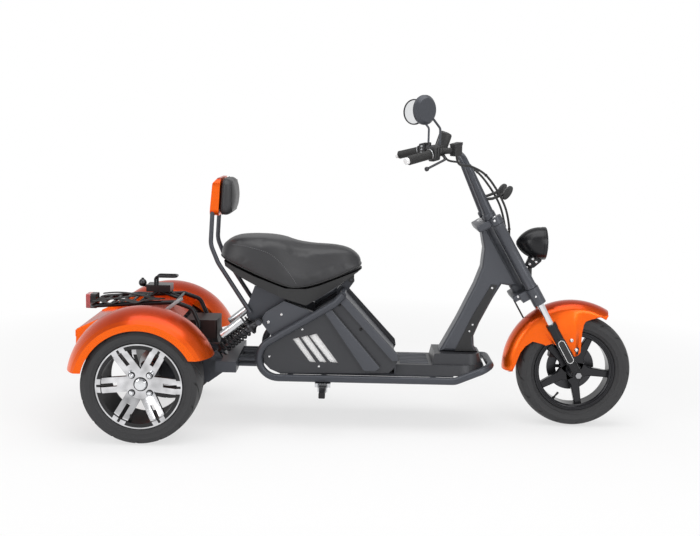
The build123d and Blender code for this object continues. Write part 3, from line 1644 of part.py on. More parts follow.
# Mirrors: a round shell and glass on a bent stem from each lever perch
mirror_forward = 1061.0
mirror_out = 300.0
mirror_height = 1298.0
mirror_radius = 56.0
mirror_rim = 8.0
mirror_dome = 12.0
mirror_dome_taper = 45.0
mirror_wall = 3.0
mirror_turn = 51.0
glass_thickness = 2.0
stem_wire = 4.5
stem_rise = 62.0
stem_bend = 20.0
glass_seat = glass_thickness + seat_gap


def mirror_plane(side):
    """The plane of a mirror's glass, which faces the rider."""
    turn = radians(mirror_turn)
    return Plane(
        origin=at(mirror_forward, mirror_height, side * mirror_out), x_dir=(0, 0, 1),
        z_dir=(-cos(turn), -side * sin(turn), 0),
    )


stems = []
for side in sides.values():
    perch = grip_plane(side).offset(grip_length + switch_length + perch_length / 2)
    foot = perch.origin + Vector(0, 0, mirror_boss_height + seat_gap)
    back = mirror_plane(side).offset(-mirror_rim - mirror_dome / 2)
    stems.append(bent_tube([foot, foot + Vector(0, 0, stem_rise), back.origin], stem_wire, stem_bend))
with BuildPart() as mirrors:
    for stem in stems:
        add(stem)
    for side in sides.values():
        with BuildSketch(mirror_plane(side)):
            Circle(mirror_radius)
        extrude(amount=-mirror_rim)
        with BuildSketch(mirror_plane(side).offset(-mirror_rim)):
            Circle(mirror_radius)
        extrude(amount=-mirror_dome, taper=mirror_dome_taper)
        with BuildSketch(mirror_plane(side)):
            Circle(mirror_radius - mirror_wall)
        extrude(amount=-glass_seat, mode=Mode.SUBTRACT)
keep(mirrors.part, "mirrors")

with BuildPart() as mirror_glass:
    for side in sides.values():
        with BuildSketch(mirror_plane(side)):
            Circle(mirror_radius - mirror_wall - seat_gap)
        extrude(amount=-glass_thickness)
keep(mirror_glass.part, "mirror_glass")

# Display: a hooded box on two arms from the handlebar's cross bar
display_forward = 1182.0
display_height = 1178.0
display_half = 46.0
display_tall = 66.0
display_depth = 24.0
display_tilt = 45.0
display_arm_radius = 5.0
display_arm_half = 20.0
display_round = 8.0
display_plane = Plane(
    origin=at(display_forward, display_height), x_dir=(0, 1, 0),
    z_dir=(-sin(radians(display_tilt)), 0, cos(radians(display_tilt))),
)
brace_middle = (brace[0] + brace[1]) * 0.5
display_arms = [
    rod(brace_middle + Vector(0, side * display_arm_half, 0),
        display_plane.origin + Vector(0, side * display_arm_half, 0), display_arm_radius)
    for side in sides.values()
]
brace_clear = rod(*brace, cross_bar_radius + seat_gap)
with BuildPart() as display:
    with BuildSketch(display_plane):
        RectangleRounded(2 * display_half, display_tall, display_round)
    extrude(amount=display_depth / 2, both=True)
    for arm in display_arms:
        add(arm)
    add(brace_clear, mode=Mode.SUBTRACT)
keep(display.part, "display")

# Turn signals: an oval lamp on a short stalk in front of each riser
signal_forward = 1425.0
signal_height = 979.0
signal_long = 35.0
signal_short = 21.0
signal_half = 15.0
signal_turn = 60.0
signal_stalk_radius = 5.0
signal_share = 0.40
signal_pieces = []
riser_clear = []
for side in sides.values():
    foot, knee = bar_points(side)[:2]
    root = foot + (knee - foot) * signal_share
    signal_pieces.append(rod(root, at(signal_forward, signal_height, side * riser_spread), signal_stalk_radius))
    riser_clear.append(rod(foot, knee, riser_radius + seat_gap))
with BuildPart() as turn_signals:
    for piece in signal_pieces:
        add(piece)
    for side in sides.values():
        with BuildSketch(side_view(side * riser_spread)):
            with Locations(Location((rear_x + signal_forward, signal_height, 0), (0, 0, signal_turn))):
                Ellipse(signal_long, signal_short)
        extrude(amount=signal_half, both=True)
    for cut in riser_clear:
        add(cut, mode=Mode.SUBTRACT)
keep(turn_signals.part, "turn_signals")
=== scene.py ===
# %% [markdown]
# An electric trike, dressed for its portrait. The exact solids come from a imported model, which is
# loaded first and is never moved or reshaped. Every solid gets a finish of its own here, and what is
# soft, treaded, stitched or bolted on is modelled as new meshes that ride on the solids' bodies.
# Lengths are in metres. X points forward, Y to the rider's left, Z up, and the floor is at zero.

# %% Load the frame
import json
from math import cos, pi, radians, sin, sqrt, tau

import bmesh
import bpy
from mathutils import Matrix, Vector


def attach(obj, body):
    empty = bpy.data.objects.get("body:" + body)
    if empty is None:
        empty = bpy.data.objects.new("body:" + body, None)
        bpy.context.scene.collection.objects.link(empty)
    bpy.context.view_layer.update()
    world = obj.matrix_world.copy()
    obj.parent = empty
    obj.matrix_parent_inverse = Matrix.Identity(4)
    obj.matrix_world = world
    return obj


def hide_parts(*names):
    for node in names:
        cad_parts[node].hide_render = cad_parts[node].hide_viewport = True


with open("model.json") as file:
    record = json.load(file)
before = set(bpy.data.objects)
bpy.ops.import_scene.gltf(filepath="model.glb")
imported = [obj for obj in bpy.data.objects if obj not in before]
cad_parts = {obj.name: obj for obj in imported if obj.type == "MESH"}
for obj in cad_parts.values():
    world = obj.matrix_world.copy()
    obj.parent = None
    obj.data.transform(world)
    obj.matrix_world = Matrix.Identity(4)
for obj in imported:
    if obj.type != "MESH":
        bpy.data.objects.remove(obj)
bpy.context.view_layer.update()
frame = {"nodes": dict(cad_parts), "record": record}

# %% [markdown]
# A shader is a graph, and a graph is hard to read as a list of links. Wrapping a socket in a small
# class lets sums and products be written as ordinary Python. Each operator adds one Math node, and
# the reflected forms let a plain number stand on the left.

# %% Sums and products on sockets
class Signal:
    """A number that varies over a surface: the output of a node, ready for arithmetic."""

    def __init__(self, tree, output):
        self.tree = tree
        self.output = output

    def maths(self, operation, first, second=None):
        node = self.tree.nodes.new("ShaderNodeMath")
        node.operation = operation
        for socket, value in zip(node.inputs, (first, second)):
            feed(self.tree, socket, value)
        return Signal(self.tree, node.outputs[0])

    def __add__(self, other):
        return self.maths("ADD", self, other)

    def __radd__(self, other):
        return self.maths("ADD", other, self)

    def __sub__(self, other):
        return self.maths("SUBTRACT", self, other)

    def __rsub__(self, other):
        return self.maths("SUBTRACT", other, self)

    def __mul__(self, other):
        return self.maths("MULTIPLY", self, other)

    def __rmul__(self, other):
        return self.maths("MULTIPLY", other, self)

    def __truediv__(self, other):
        return self.maths("DIVIDE", self, other)

    def __pow__(self, other):
        return self.maths("POWER", self, other)

    def above(self, level):
        return self.maths("GREATER_THAN", self, level)

    def at_least(self, level):
        return self.maths("MAXIMUM", self, level)

    def at_most(self, level):
        return self.maths("MINIMUM", self, level)

    def size(self):
        return self.maths("ABSOLUTE", self)


def feed(tree, socket, value):
    """Links a signal or an output to a socket, or writes a plain value on it."""
    if value is None:
        return
    if isinstance(value, Signal):
        tree.links.new(value.output, socket)
    elif isinstance(value, bpy.types.NodeSocket):
        tree.links.new(value, socket)
    else:
        socket.default_value = value

# %% [markdown]
# Every finish starts from the same physically based shader. What is equal all over the surface is
# written straight on the shader's sockets. What varies comes from a few noise patterns in the
# object's own space, so that it stays on the surface when a wheel turns or the bar is steered.

# %% A finish and its nodes
class Finish:
    """A material on a Principled shader, with one method that adds any node."""

    def __init__(self, name, **fixed):
        self.material = bpy.data.materials.new(name)
        self.material.use_nodes = True
        self.tree = self.material.node_tree
        self.shader = self.tree.nodes["Principled BSDF"]
        self.place = self.node("ShaderNodeTexCoord").outputs["Object"]
        for socket, value in fixed.items():
            self.shader.inputs[socket.replace("_", " ")].default_value = value

    def node(self, kind, settings=None, **sockets):
        made = self.tree.nodes.new(kind)
        for key, value in (settings or {}).items():
            setattr(made, key, value)
        for key, value in sockets.items():
            feed(self.tree, made.inputs[key.replace("_", " ")], value)
        return made

    def noise(self, scale, detail=3.0, stretch=None):
        place = self.place
        if stretch:
            squeezed = self.node("ShaderNodeMapping", Vector=place)
            squeezed.inputs["Scale"].default_value = stretch
            place = squeezed.outputs[0]
        made = self.node("ShaderNodeTexNoise", Vector=place, Scale=scale, Detail=detail)
        return Signal(self.tree, made.outputs[0])

    def cells(self, scale):
        made = self.node("ShaderNodeTexVoronoi", Vector=self.place, Scale=scale)
        return Signal(self.tree, made.outputs["Distance"])

    def along(self, axis, vector=None):
        split = self.node("ShaderNodeSeparateXYZ", Vector=vector or self.place)
        return Signal(self.tree, split.outputs[axis])

    def facing(self, axis):
        return self.along(axis, self.node("ShaderNodeTexCoord").outputs["Normal"])

    def two_tone(self, share, first, second):
        mixed = self.node("ShaderNodeMix", {"data_type": "RGBA"})
        feed(self.tree, mixed.inputs[0], share)
        mixed.inputs[6].default_value = (*first, 1.0)
        mixed.inputs[7].default_value = (*second, 1.0)
        return mixed.outputs[2]

    def drive(self, socket, value):
        feed(self.tree, self.shader.inputs[socket], value)
        return self

    def relief(self, height, strength, distance):
        bump = self.node("ShaderNodeBump", Height=height, Strength=strength, Distance=distance)
        return self.drive("Normal", bump.outputs[0])

# %% [markdown]
# The paints come first. The fenders wear a candy paint: a metallic orange base under a thin clear
# coat, with flakes that show only close up, and a darker red painted on the faces that look up as
# painted shade. The frame and the panels wear a satin slate paint with a faint orange-peel surface,
# which softens reflections.

# %% Paints
def flaked_paint(name, dark, bright):
    """Candy paint: metal flakes in a tinted base under a clear coat, with painted shade on upward faces."""
    paint = Finish(name, Metallic=0.70, Coat_Weight=0.16, Coat_Roughness=0.05, Specular_IOR_Level=0.35)
    flakes = paint.cells(1600.0)
    # Painted shade: faces that look up take the darker red, as if less light fell on them from above.
    shade = ((paint.facing(2) - 0.12) * 1.35).at_least(0.0).at_most(1.0)
    paint.drive("Base Color", paint.two_tone(shade * 0.92 + flakes * 0.12, bright, dark))
    paint.drive("Roughness", 0.24 + flakes * 0.10)
    paint.relief(paint.noise(60.0, 2.0), 0.05, 0.0005)
    return paint.material


def satin_paint(name, colour, dusty, roughness):
    """Satin paint with orange peel and a little wear in the shine."""
    paint = Finish(name, Metallic=0.35, Specular_IOR_Level=0.5)
    cloud = paint.noise(9.0, 4.0)
    paint.drive("Base Color", paint.two_tone(cloud * 0.5, colour, dusty))
    paint.drive("Roughness", roughness + cloud * 0.10)
    paint.relief(paint.noise(900.0, 2.0), 0.12, 0.0004)
    return paint.material


finishes = {}
# The first colour is the painted shade of upward faces, the second the lit orange.
finishes["candy_paint"] = flaked_paint("candy_orange", (0.56, 0.045, 0.003), (0.98, 0.135, 0.001))
finishes["frame_paint"] = satin_paint("slate_frame", (0.055, 0.059, 0.070), (0.075, 0.080, 0.094), 0.33)
finishes["panel_paint"] = satin_paint("slate_panels", (0.070, 0.074, 0.086), (0.090, 0.095, 0.110), 0.36)
finishes["dark_panel"] = satin_paint("graphite_panel", (0.044, 0.045, 0.050), (0.058, 0.060, 0.066), 0.33)
finishes["gloss_black"] = satin_paint("gloss_enamel", (0.016, 0.016, 0.019), (0.024, 0.024, 0.028), 0.12)
finishes["black_paint"] = satin_paint("black_enamel", (0.010, 0.010, 0.012), (0.018, 0.018, 0.020), 0.24)
finishes["dark_red"] = satin_paint("brown_box", (0.020, 0.010, 0.010), (0.030, 0.016, 0.015), 0.42)
print("paints", sorted(finishes))

# %% [markdown]
# Metals differ mostly in roughness and in the marks of how they were made. Chrome is left almost
# perfect. Turned and ground parts get fine streaks. The rear rims are machined bright on their
# outer faces and stay black in the pockets. A face that looks sideways is machined, apart from the
# slot in each arm and a ring inside the lip, which are found by measuring from the axle.

# %% Metals
rear_x = -0.8435
rear_height = 0.230
arm_half, slot_half = 0.0265, 0.0050
groove_from, groove_to = 0.1440, 0.1612


def streaked_metal(name, colour, roughness, streak):
    """Bare metal with the fine lines of grinding."""
    metal = Finish(name, Metallic=1.0)
    lines = metal.noise(140.0, 2.0, stretch=streak)
    metal.drive("Base Color", metal.two_tone(lines, colour, tuple(0.82 * part for part in colour)))
    metal.drive("Roughness", roughness + lines * 0.12)
    metal.relief(lines, 0.05, 0.0003)
    return metal.material


def machined_rim(name, bright, dark):
    """A cast rim: bare bright metal where the lathe has faced it, black paint in the pockets, and soft grey
    streaks painted on the bright faces as painted reflection.
    """
    rim = Finish(name)
    faced = rim.facing(1).size().above(0.5)
    across = rim.along(0) - rear_x
    upward = rim.along(2) - rear_height
    reach = (across * across + upward * upward) ** 0.5
    arms = 0.0
    for turn in (0.0, pi / 3, pi * 2 / 3):
        beside = (upward * cos(turn) - across * sin(turn)).size()
        arms = beside.above(slot_half) * (1 - beside.above(arm_half)) + arms
    faced = faced * (1 - reach.above(groove_from) * (1 - reach.above(groove_to)) * (1 - arms))
    lines = rim.noise(180.0, 2.0)
    # Painted reflection: soft grey streaks across the machined faces stand in for the streaks that the
    # surroundings reflect in polished metal.
    sweep = rim.noise(24.0, 1.0, stretch=(1.0, 0.2, 1.0))
    rim.drive("Base Color", rim.two_tone(faced * (1.15 - sweep * 0.85), dark, bright))
    rim.drive("Metallic", 0.2 + faced * 0.8)
    rim.drive("Roughness", 0.34 - faced * 0.24 + lines * 0.06)
    rim.relief(lines, 0.04, 0.0003)
    return rim.material


finishes["rim_polish"] = machined_rim("machined_rim", (0.88, 0.88, 0.90), (0.012, 0.012, 0.013))
finishes["chrome"] = streaked_metal("bright_chrome", (0.86, 0.87, 0.89), 0.03, (1.0, 1.0, 0.2))
finishes["steel"] = streaked_metal("ground_steel", (0.42, 0.42, 0.43), 0.24, (1.0, 8.0, 1.0))
finishes["screw_steel"] = streaked_metal("screw_steel", (0.78, 0.78, 0.79), 0.16, (1.0, 1.0, 1.0))
finishes["dark_steel"] = streaked_metal("dark_steel", (0.07, 0.07, 0.075), 0.30, (1.0, 4.0, 1.0))
finishes["alloy"] = streaked_metal("satin_alloy", (0.72, 0.73, 0.75), 0.20, (1.0, 1.0, 6.0))
finishes["mirror"] = streaked_metal("mirror_silver", (0.92, 0.93, 0.94), 0.01, (1.0, 1.0, 1.0))

# %% [markdown]
# The rest is moulded or covered: rubber for the tyres and grips, grained plastic, vinyl with a fine
# leather grain for the seat, clear and tinted lenses.

# %% Plastics, rubber, vinyl and lenses
def grained(name, colour, worn, roughness, grain, depth):
    """A moulded surface with a fine grain."""
    stuff = Finish(name)
    cloud = stuff.noise(14.0, 3.0)
    pores = stuff.cells(grain)
    stuff.drive("Base Color", stuff.two_tone(cloud, colour, worn))
    stuff.drive("Roughness", roughness + pores * 0.15)
    stuff.relief(pores, 0.25, depth)
    return stuff.material


def tread_rubber(name, colour, deep):
    """Tyre rubber with painted shade: darker where the mesh marks the bottom of a groove."""
    rubber = Finish(name)
    marks = rubber.node("ShaderNodeAttribute", {"attribute_name": "groove"})
    groove = Signal(rubber.tree, marks.outputs["Fac"])
    pores = rubber.cells(800.0)
    # Painted shade: the bottoms of the grooves take the darker rubber colour.
    rubber.drive("Base Color", rubber.two_tone(groove, colour, deep))
    rubber.drive("Roughness", 0.52 + pores * 0.15 + groove * 0.2)
    rubber.relief(pores, 0.25, 0.0003)
    return rubber.material


def lens(name, colour, roughness, clear):
    """A lens: clear glass lets light through, and a tinted one keeps its colour."""
    glass = Finish(name, Transmission_Weight=clear, IOR=1.49, Coat_Weight=0.4)
    ripple = glass.noise(30.0, 1.0)
    glass.drive("Base Color", glass.two_tone(ripple, colour, tuple(0.9 * part for part in colour)))
    glass.drive("Roughness", roughness + ripple * 0.02)
    return glass.material


for slot, name, colour, worn, roughness, grain, depth in (
    ("trim_black", "black_plastic", (0.012, 0.012, 0.013), (0.020, 0.020, 0.021), 0.38, 900.0, 0.0002),
    ("battery_case", "case_plastic", (0.04, 0.04, 0.045), (0.05, 0.05, 0.055), 0.5, 700.0, 0.0002),
    ("grip_rubber", "grip_rubber", (0.012, 0.012, 0.012), (0.020, 0.020, 0.020), 0.50, 700.0, 0.0004),
    ("leather", "seat_vinyl", (0.022, 0.022, 0.024), (0.034, 0.034, 0.037), 0.36, 420.0, 0.0005),
    ("thread", "grey_thread", (0.16, 0.16, 0.17), (0.20, 0.20, 0.21), 0.60, 900.0, 0.0001),
    ("web_grey", "grey_webbing", (0.30, 0.31, 0.32), (0.40, 0.41, 0.42), 0.50, 700.0, 0.0003),
    ("pale_plastic", "white_plastic", (0.93, 0.93, 0.93), (0.97, 0.97, 0.97), 0.20, 600.0, 0.0001),
):
    finishes[slot] = grained(name, colour, worn, roughness, grain, depth)
# The second colour is the painted shade of the groove bottoms.
finishes["tyre"] = tread_rubber("tyre_rubber", (0.030, 0.030, 0.032), (0.006, 0.006, 0.006))
finishes["lamp_glass"] = lens("clear_lens", (1.0, 1.0, 1.0), 0.02, 1.0)
finishes["red_lens"] = lens("red_lens", (0.62, 0.10, 0.10), 0.12, 0.3)
print("finishes", len(finishes))

# %% [markdown]
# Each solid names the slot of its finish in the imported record, so one loop dresses them all. A short
# table names the solids that look better in another finish than their slot's.

# %% Dress the solids
slot_of = {part["node"]: part["material_slot"] for part in frame["record"]["subparts"]}


def dress(thing, material):
    """Puts one material on every slot of an object."""
    if not thing.material_slots:
        thing.data.materials.append(material)
    for place in thing.material_slots:
        place.link = "OBJECT"
        place.material = material


own_finish = {
    "front_disc": "dark_steel", "lower_yoke": "panel_paint", "upper_yoke": "panel_paint",
    "mirrors": "frame_paint", "peg_brackets": "alloy", "brake_caliper": "dark_red",
    "side_panel_left": "dark_panel", "side_panel_right": "dark_panel", "deck_pan": "dark_panel",
}
for node, thing in frame["nodes"].items():
    dress(thing, finishes[own_finish.get(node) or slot_of.get(node) or "black_paint"])
print("solids without a finish:", [node for node in frame["nodes"] if node not in slot_of])

# %% [markdown]
# New pieces are placed like the solids: forward of the rear axle, up from the floor, and aside to
# the rider's left. Small forms such as bolts, rings and tubes are gathered in one mesh, because a
# hundred objects of one bolt each would be slow to handle and slow to draw.

# %% Helpers for new pieces
wheelbase = 1.745
axle_up = {"rear": rear_height, "front": 0.238}
half_track = 0.315
mirrored = {"right": -1, "left": 1}
skyward = Vector((0, 0, 1))
sideways = Vector((0, 1, 0))


def at(forward, up, aside=0.0):
    """A point of the trike, given forward of the rear axle."""
    return Vector((rear_x + forward, aside, up))


def wheel_way(turn):
    """A direction in the plane of the wheels, turned up from forward."""
    return Vector((cos(turn), 0, sin(turn)))


front_middle = at(wheelbase, axle_up["front"])


def closed_mesh(name, points, faces):
    """A mesh whose faces all look outward."""
    mesh = bpy.data.meshes.new(name)
    mesh.from_pydata([tuple(point) for point in points], [], faces)
    facing = bmesh.new()
    facing.from_mesh(mesh)
    bmesh.ops.recalc_face_normals(facing, faces=facing.faces)
    facing.to_mesh(mesh)
    facing.free()
    return mesh


def made(name, mesh, finish, body, slot=None):
    """Makes a mesh a smooth-shaded piece that rides on a body."""
    piece = bpy.data.objects.new(name, mesh)
    bpy.context.scene.collection.objects.link(piece)
    mesh.materials.clear()
    mesh.materials.append(finishes[finish])
    for face in mesh.polygons:
        face.use_smooth = True
    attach(piece, body)
    return piece


class Batch:
    """Gathers small closed forms into one mesh."""

    def __init__(self):
        self.points = []
        self.faces = []

    def loft(self, loops, ring=False):
        """Joins loops of equal length, and closes the first and last unless they form a ring."""
        base = len(self.points)
        count = len(loops[0])
        for loop in loops:
            self.points.extend(loop)
        for row in range(len(loops) if ring else len(loops) - 1):
            here = base + row * count
            there = base + (row + 1) % len(loops) * count
            for column in range(count):
                beside = (column + 1) % count
                self.faces.append((here + column, here + beside, there + beside, there + column))
        if not ring:
            last = base + (len(loops) - 1) * count
            self.faces.append(tuple(base + index for index in reversed(range(count))))
            self.faces.append(tuple(last + index for index in range(count)))

    def turned(self, spot, axis, outline, steps=16):
        """Turns an outline of radius and height about an axis through a spot."""
        axis = Vector(axis).normalized()
        across = axis.orthogonal().normalized()
        beside = axis.cross(across)
        loops = []
        for radius, height in outline:
            middle = Vector(spot) + axis * height
            turns = [tau * index / steps for index in range(steps)]
            loops.append([middle + (across * cos(turn) + beside * sin(turn)) * radius for turn in turns])
        self.loft(loops)

    def tube(self, route, radius, steps=8, ring=False, flat=1.0, up=(0, 0, 1)):
        """A tube along a route. Flat below 1 makes it a strap whose thin way is up."""
        loops = []
        for index, spot in enumerate(route):
            before = route[index - 1] if ring else route[max(index - 1, 0)]
            after = route[(index + 1) % len(route)] if ring else route[min(index + 1, len(route) - 1)]
            ahead = (after - before).normalized()
            across = ahead.cross(Vector(up)).normalized()
            above = across.cross(ahead)
            turns = [tau * step / steps for step in range(steps)]
            loops.append([
                spot + across * radius * cos(turn) + above * radius * flat * sin(turn) for turn in turns
            ])
        self.loft(loops, ring)

    def slab(self, outline, low, high):
        """A plate cut to points of a forward distance and a height, between two distances aside."""
        self.loft([[at(forward, up, aside) for forward, up in outline] for aside in (low, high)])

    def piece(self, name, finish, body, slot=None, bevel=0.0, sharp=40.0):
        """Closes the batch into a piece."""
        result = made(name, closed_mesh(name, self.points, self.faces), finish, body, slot)
        if bevel:
            round_edges = result.modifiers.new("round_edges", "BEVEL")
            round_edges.width = bevel
            round_edges.segments = 3
            settle(result)
        result.data.set_sharp_from_angle(angle=radians(sharp))
        return result


def settle(piece):
    """Writes what a piece's modifiers make into its mesh."""
    bpy.context.view_layer.update()
    shaped = piece.evaluated_get(bpy.context.evaluated_depsgraph_get())
    piece.data = bpy.data.meshes.new_from_object(shaped)
    piece.modifiers.clear()


def curve_through(spots, steps, ring=False):
    """Points of a smooth line through some spots."""
    route = []
    count = len(spots)
    for index in range(count if ring else count - 1):
        ends = [index - 1, index, index + 1, index + 2]
        if ring:
            first, second, third, fourth = (spots[end % count] for end in ends)
        else:
            first, second, third, fourth = (spots[min(max(end, 0), count - 1)] for end in ends)
        for step in range(steps):
            share = step / steps
            bend = (
                second * 2 + (third - first) * share
                + (first * 2 - second * 5 + third * 4 - fourth) * share ** 2
                + (second * 3 - first - third * 3 + fourth) * share ** 3
            )
            route.append(bend / 2)
    if not ring:
        route.append(spots[-1])
    return route


def arc_through(first, middle, last, count):
    """Points of the circle through three points of a flat section."""
    one, two, three = (Vector((*point, 0.0)) for point in (first, middle, last))
    chord, other = two - one, three - one
    normal = chord.cross(other)
    reach = (normal.cross(chord) * other.length_squared + other.cross(normal) * chord.length_squared)
    centre = one + reach / (2 * normal.length_squared)
    start = one - centre
    sweep = start.angle(two - centre) + (two - centre).angle(three - centre)
    if normal.z < 0:
        sweep = -sweep
    turned = [Matrix.Rotation(sweep * index / count, 3, "Z") @ start for index in range(count + 1)]
    return [(centre.x + spot.x, centre.y + spot.y) for spot in turned]


print("helpers ready; the front axle is at", front_middle[:])

# %% [markdown]
# A tyre is turned from its section, but its tread isn't round. The grid that makes it is sheared:
# its columns lean along the grooves, so that each groove wall lies on the grid's own lines and stays
# crisp with few faces. Every second groove runs to the other shoulder. The sidewall carries a rim
# guard and two fine rings, as moulded tyres do.

# %% Tyres with tread
lip_line = 0.1668
bead_line = 0.1527
groove_columns = [(0.00, 0), (0.26, 0), (0.34, 1), (0.46, 1), (0.54, 0), (0.80, 0)]
sidewall_rings = (1, 2, 5, 9)
ring_height = 0.0020
groove_fade, groove_end = 0.10, 1.02


def tyre_section(radius, width, bead, shoulder_share, drop, rows):
    """Radius, distance aside and share of tread for each row of a tyre's grid."""
    half = width / 2
    bulge = lip_line + (radius - lip_line) * 0.45
    shoulder = (radius - drop, half * shoulder_share)
    wall = arc_through((lip_line, bead), (bulge, half), shoulder, 14)
    crown = arc_through(shoulder, (radius, 0.0), (shoulder[0], -shoulder[1]), rows)
    raised = []
    for index, (reach, aside) in enumerate(wall[:-1]):
        proud = ring_height if index in sidewall_rings else 0.0
        raised.append((reach + proud * 0.3, aside + proud, 0.0 if index < 12 else 0.5))
    mirrored_wall = [(reach, -aside, share) for reach, aside, share in raised[::-1]]
    treads = [(reach, aside, 1.0) for reach, aside in crown]
    heel, toe = (bead_line, bead - 0.004, 0.0), (bead_line, 0.004 - bead, 0.0)
    return [heel] + raised + treads + mirrored_wall + [toe]


def treaded_tyre(name, centre, section, pitches, depth, sweep, body):
    """A tyre whose grooves sweep from near the middle out to each shoulder."""
    half = max(aside for _, aside, _ in section)
    points = []
    grooved = []
    for pitch in range(pitches):
        leans_to = 1 if pitch % 2 else -1
        for share, groove in groove_columns:
            for reach, aside, tread in section:
                out = abs(aside) / half
                lean = sweep * out ** 1.3
                angle = tau * (pitch + share) / pitches + lean
                cut = groove * tread if aside * leans_to > 0 else 0.0
                for room in (out - groove_fade, groove_end - out):
                    cut *= min(max(room / groove_fade, 0.0), 1.0)
                height = reach - depth * cut
                grooved.append(cut)
                points.append(centre + Vector((cos(angle) * height, aside, sin(angle) * height)))
    rows = len(section)
    columns = pitches * len(groove_columns)
    faces = []
    for column in range(columns):
        beside = (column + 1) % columns
        for row in range(rows):
            below = (row + 1) % rows
            faces.append((
                column * rows + row, beside * rows + row, beside * rows + below, column * rows + below,
            ))
    mesh = closed_mesh(name, points, faces)
    # The depth of each cut is kept on the points, and the rubber paints shade into the groove bottoms from
    # it.
    groove_shade_marks = mesh.attributes.new("groove", "FLOAT", "POINT")
    groove_shade_marks.data.foreach_set("value", grooved)
    tyre = made(name, mesh, "tyre", body)
    mesh.set_sharp_from_angle(angle=radians(32))
    return tyre


rear_section = tyre_section(0.230, 0.200, 0.083, 0.92, 0.007, 30)
front_section = tyre_section(0.238, 0.112, 0.034, 0.84, 0.012, 20)
for label, side in mirrored.items():
    rear_tyre = treaded_tyre(
        "treaded_tyre_" + label, at(0, axle_up["rear"], side * half_track), rear_section,
        30, 0.0055, 0.46, "rear_wheel_" + label,
    )
    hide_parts("rear_tyre_" + label)
front_tyre = treaded_tyre(
    "treaded_tyre_front", front_middle, front_section, 34, 0.0050, 0.34, "front_wheel",
)
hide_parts("front_tyre")
print("tyre faces", len(rear_tyre.data.polygons), len(front_tyre.data.polygons))

# %% [markdown]
# The seat is foam under a stretched vinyl cover: a broad rear bulge with a soft ridge round its top,
# which falls into a narrow nose. Sections across the trike give its form, and a subdivision surface
# rounds it. It is then remeshed and blown up a little as cloth, with every point held near its
# place, so that the cover looks stretched over its filling and not cut from a block.

# %% Seat cushion
seat_sections = [
    (0.2640, 0.714, 0.046, 0.704, 0.062, 0.698), (0.2720, 0.738, 0.070, 0.720, 0.088, 0.696),
    (0.2850, 0.757, 0.094, 0.738, 0.116, 0.688), (0.3200, 0.770, 0.116, 0.757, 0.138, 0.672),
    (0.3950, 0.776, 0.128, 0.756, 0.153, 0.639), (0.4800, 0.775, 0.131, 0.747, 0.158, 0.604),
    (0.5400, 0.765, 0.120, 0.725, 0.154, 0.582), (0.5800, 0.751, 0.103, 0.706, 0.145, 0.575),
    (0.6500, 0.743, 0.088, 0.696, 0.124, 0.586), (0.7350, 0.742, 0.079, 0.695, 0.104, 0.616),
    (0.7900, 0.736, 0.068, 0.698, 0.091, 0.642), (0.8300, 0.713, 0.052, 0.690, 0.073, 0.660),
    (0.8460, 0.690, 0.036, 0.680, 0.052, 0.668),
]
base_line = [
    (0.262, 0.690), (0.286, 0.682), (0.415, 0.627), (0.539, 0.580), (0.622, 0.576), (0.675, 0.588),
    (0.852, 0.655),
]


def height_on(line, forward):
    """The height of a line of points at a distance forward."""
    for (start, low), (end, high) in zip(line, line[1:]):
        if forward <= end:
            return low + (high - low) * (forward - start) / (end - start)
    return line[-1][1]


def seat_loop(section):
    """One closed section of the seat, from the middle of its top round both sides."""
    forward, top, out, ridge, seam_out, seam = section
    floor = height_on(base_line, forward)
    half = [
        (0.00, top), (0.45 * out, top - 0.001), (0.80 * out, top - 0.16 * (top - ridge)),
        (0.97 * out, top - 0.62 * (top - ridge)), (1.03 * out, ridge - 0.10 * (ridge - seam)),
        (out + 0.62 * (seam_out - out), ridge - 0.40 * (ridge - seam)),
        (seam_out, ridge - 0.76 * (ridge - seam)), (seam_out - 0.001, seam),
        (seam_out - 0.010, min(floor, seam - 0.002)), (0.55 * seam_out, floor), (0.00, floor),
    ]
    right = [at(forward, up, -aside) for aside, up in half]
    left = [at(forward, up, aside) for aside, up in half[1:-1]]
    return right + left[::-1]


def plump(piece, voxel, pressure, cap):
    """Remeshes a closed form, blows it up as cloth for 20 frames and limits how far a point moves."""
    even = piece.modifiers.new("even", "REMESH")
    even.mode = "VOXEL"
    even.voxel_size = voxel
    settle(piece)
    scene = bpy.context.scene
    start = [point.co.copy() for point in piece.data.vertices]
    cloth = piece.modifiers.new("cover", "CLOTH")
    cloth.settings.use_pressure = True
    cloth.settings.uniform_pressure_force = pressure
    cloth.settings.effector_weights.gravity = 0.0
    cloth.settings.quality = 4
    cloth.point_cache.frame_end = 20
    for frame_number in range(1, 21):
        scene.frame_set(frame_number)
    shaped = piece.evaluated_get(bpy.context.evaluated_depsgraph_get())
    blown = [point.co.copy() for point in shaped.data.vertices]
    piece.modifiers.clear()
    scene.frame_set(1)
    for point, old, new in zip(piece.data.vertices, start, blown):
        move = new - old
        if move.length > cap:
            move = move.normalized() * cap
        point.co = old + move
    piece.data.update()


def upholster(piece, voxel, cap, rounds):
    """Plumps a closed form, evens out the marks of the remesh and refines it."""
    plump(piece, voxel, 3.0, cap)
    softer = piece.modifiers.new("softer", "SMOOTH")
    softer.factor = 0.5
    softer.iterations = rounds
    piece.modifiers.new("finer", "SUBSURF").levels = 1
    settle(piece)
    for face in piece.data.polygons:
        face.use_smooth = True


seat = Batch()
seat.loft([seat_loop(section) for section in seat_sections])
cushion = seat.piece("seat_cover", "leather", "seat")
cushion.modifiers.new("rounder", "SUBSURF").levels = 2
settle(cushion)
upholster(cushion, 0.006, 0.004, 6)
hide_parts("seat_cushion")
print("seat cover faces", len(cushion.data.polygons))

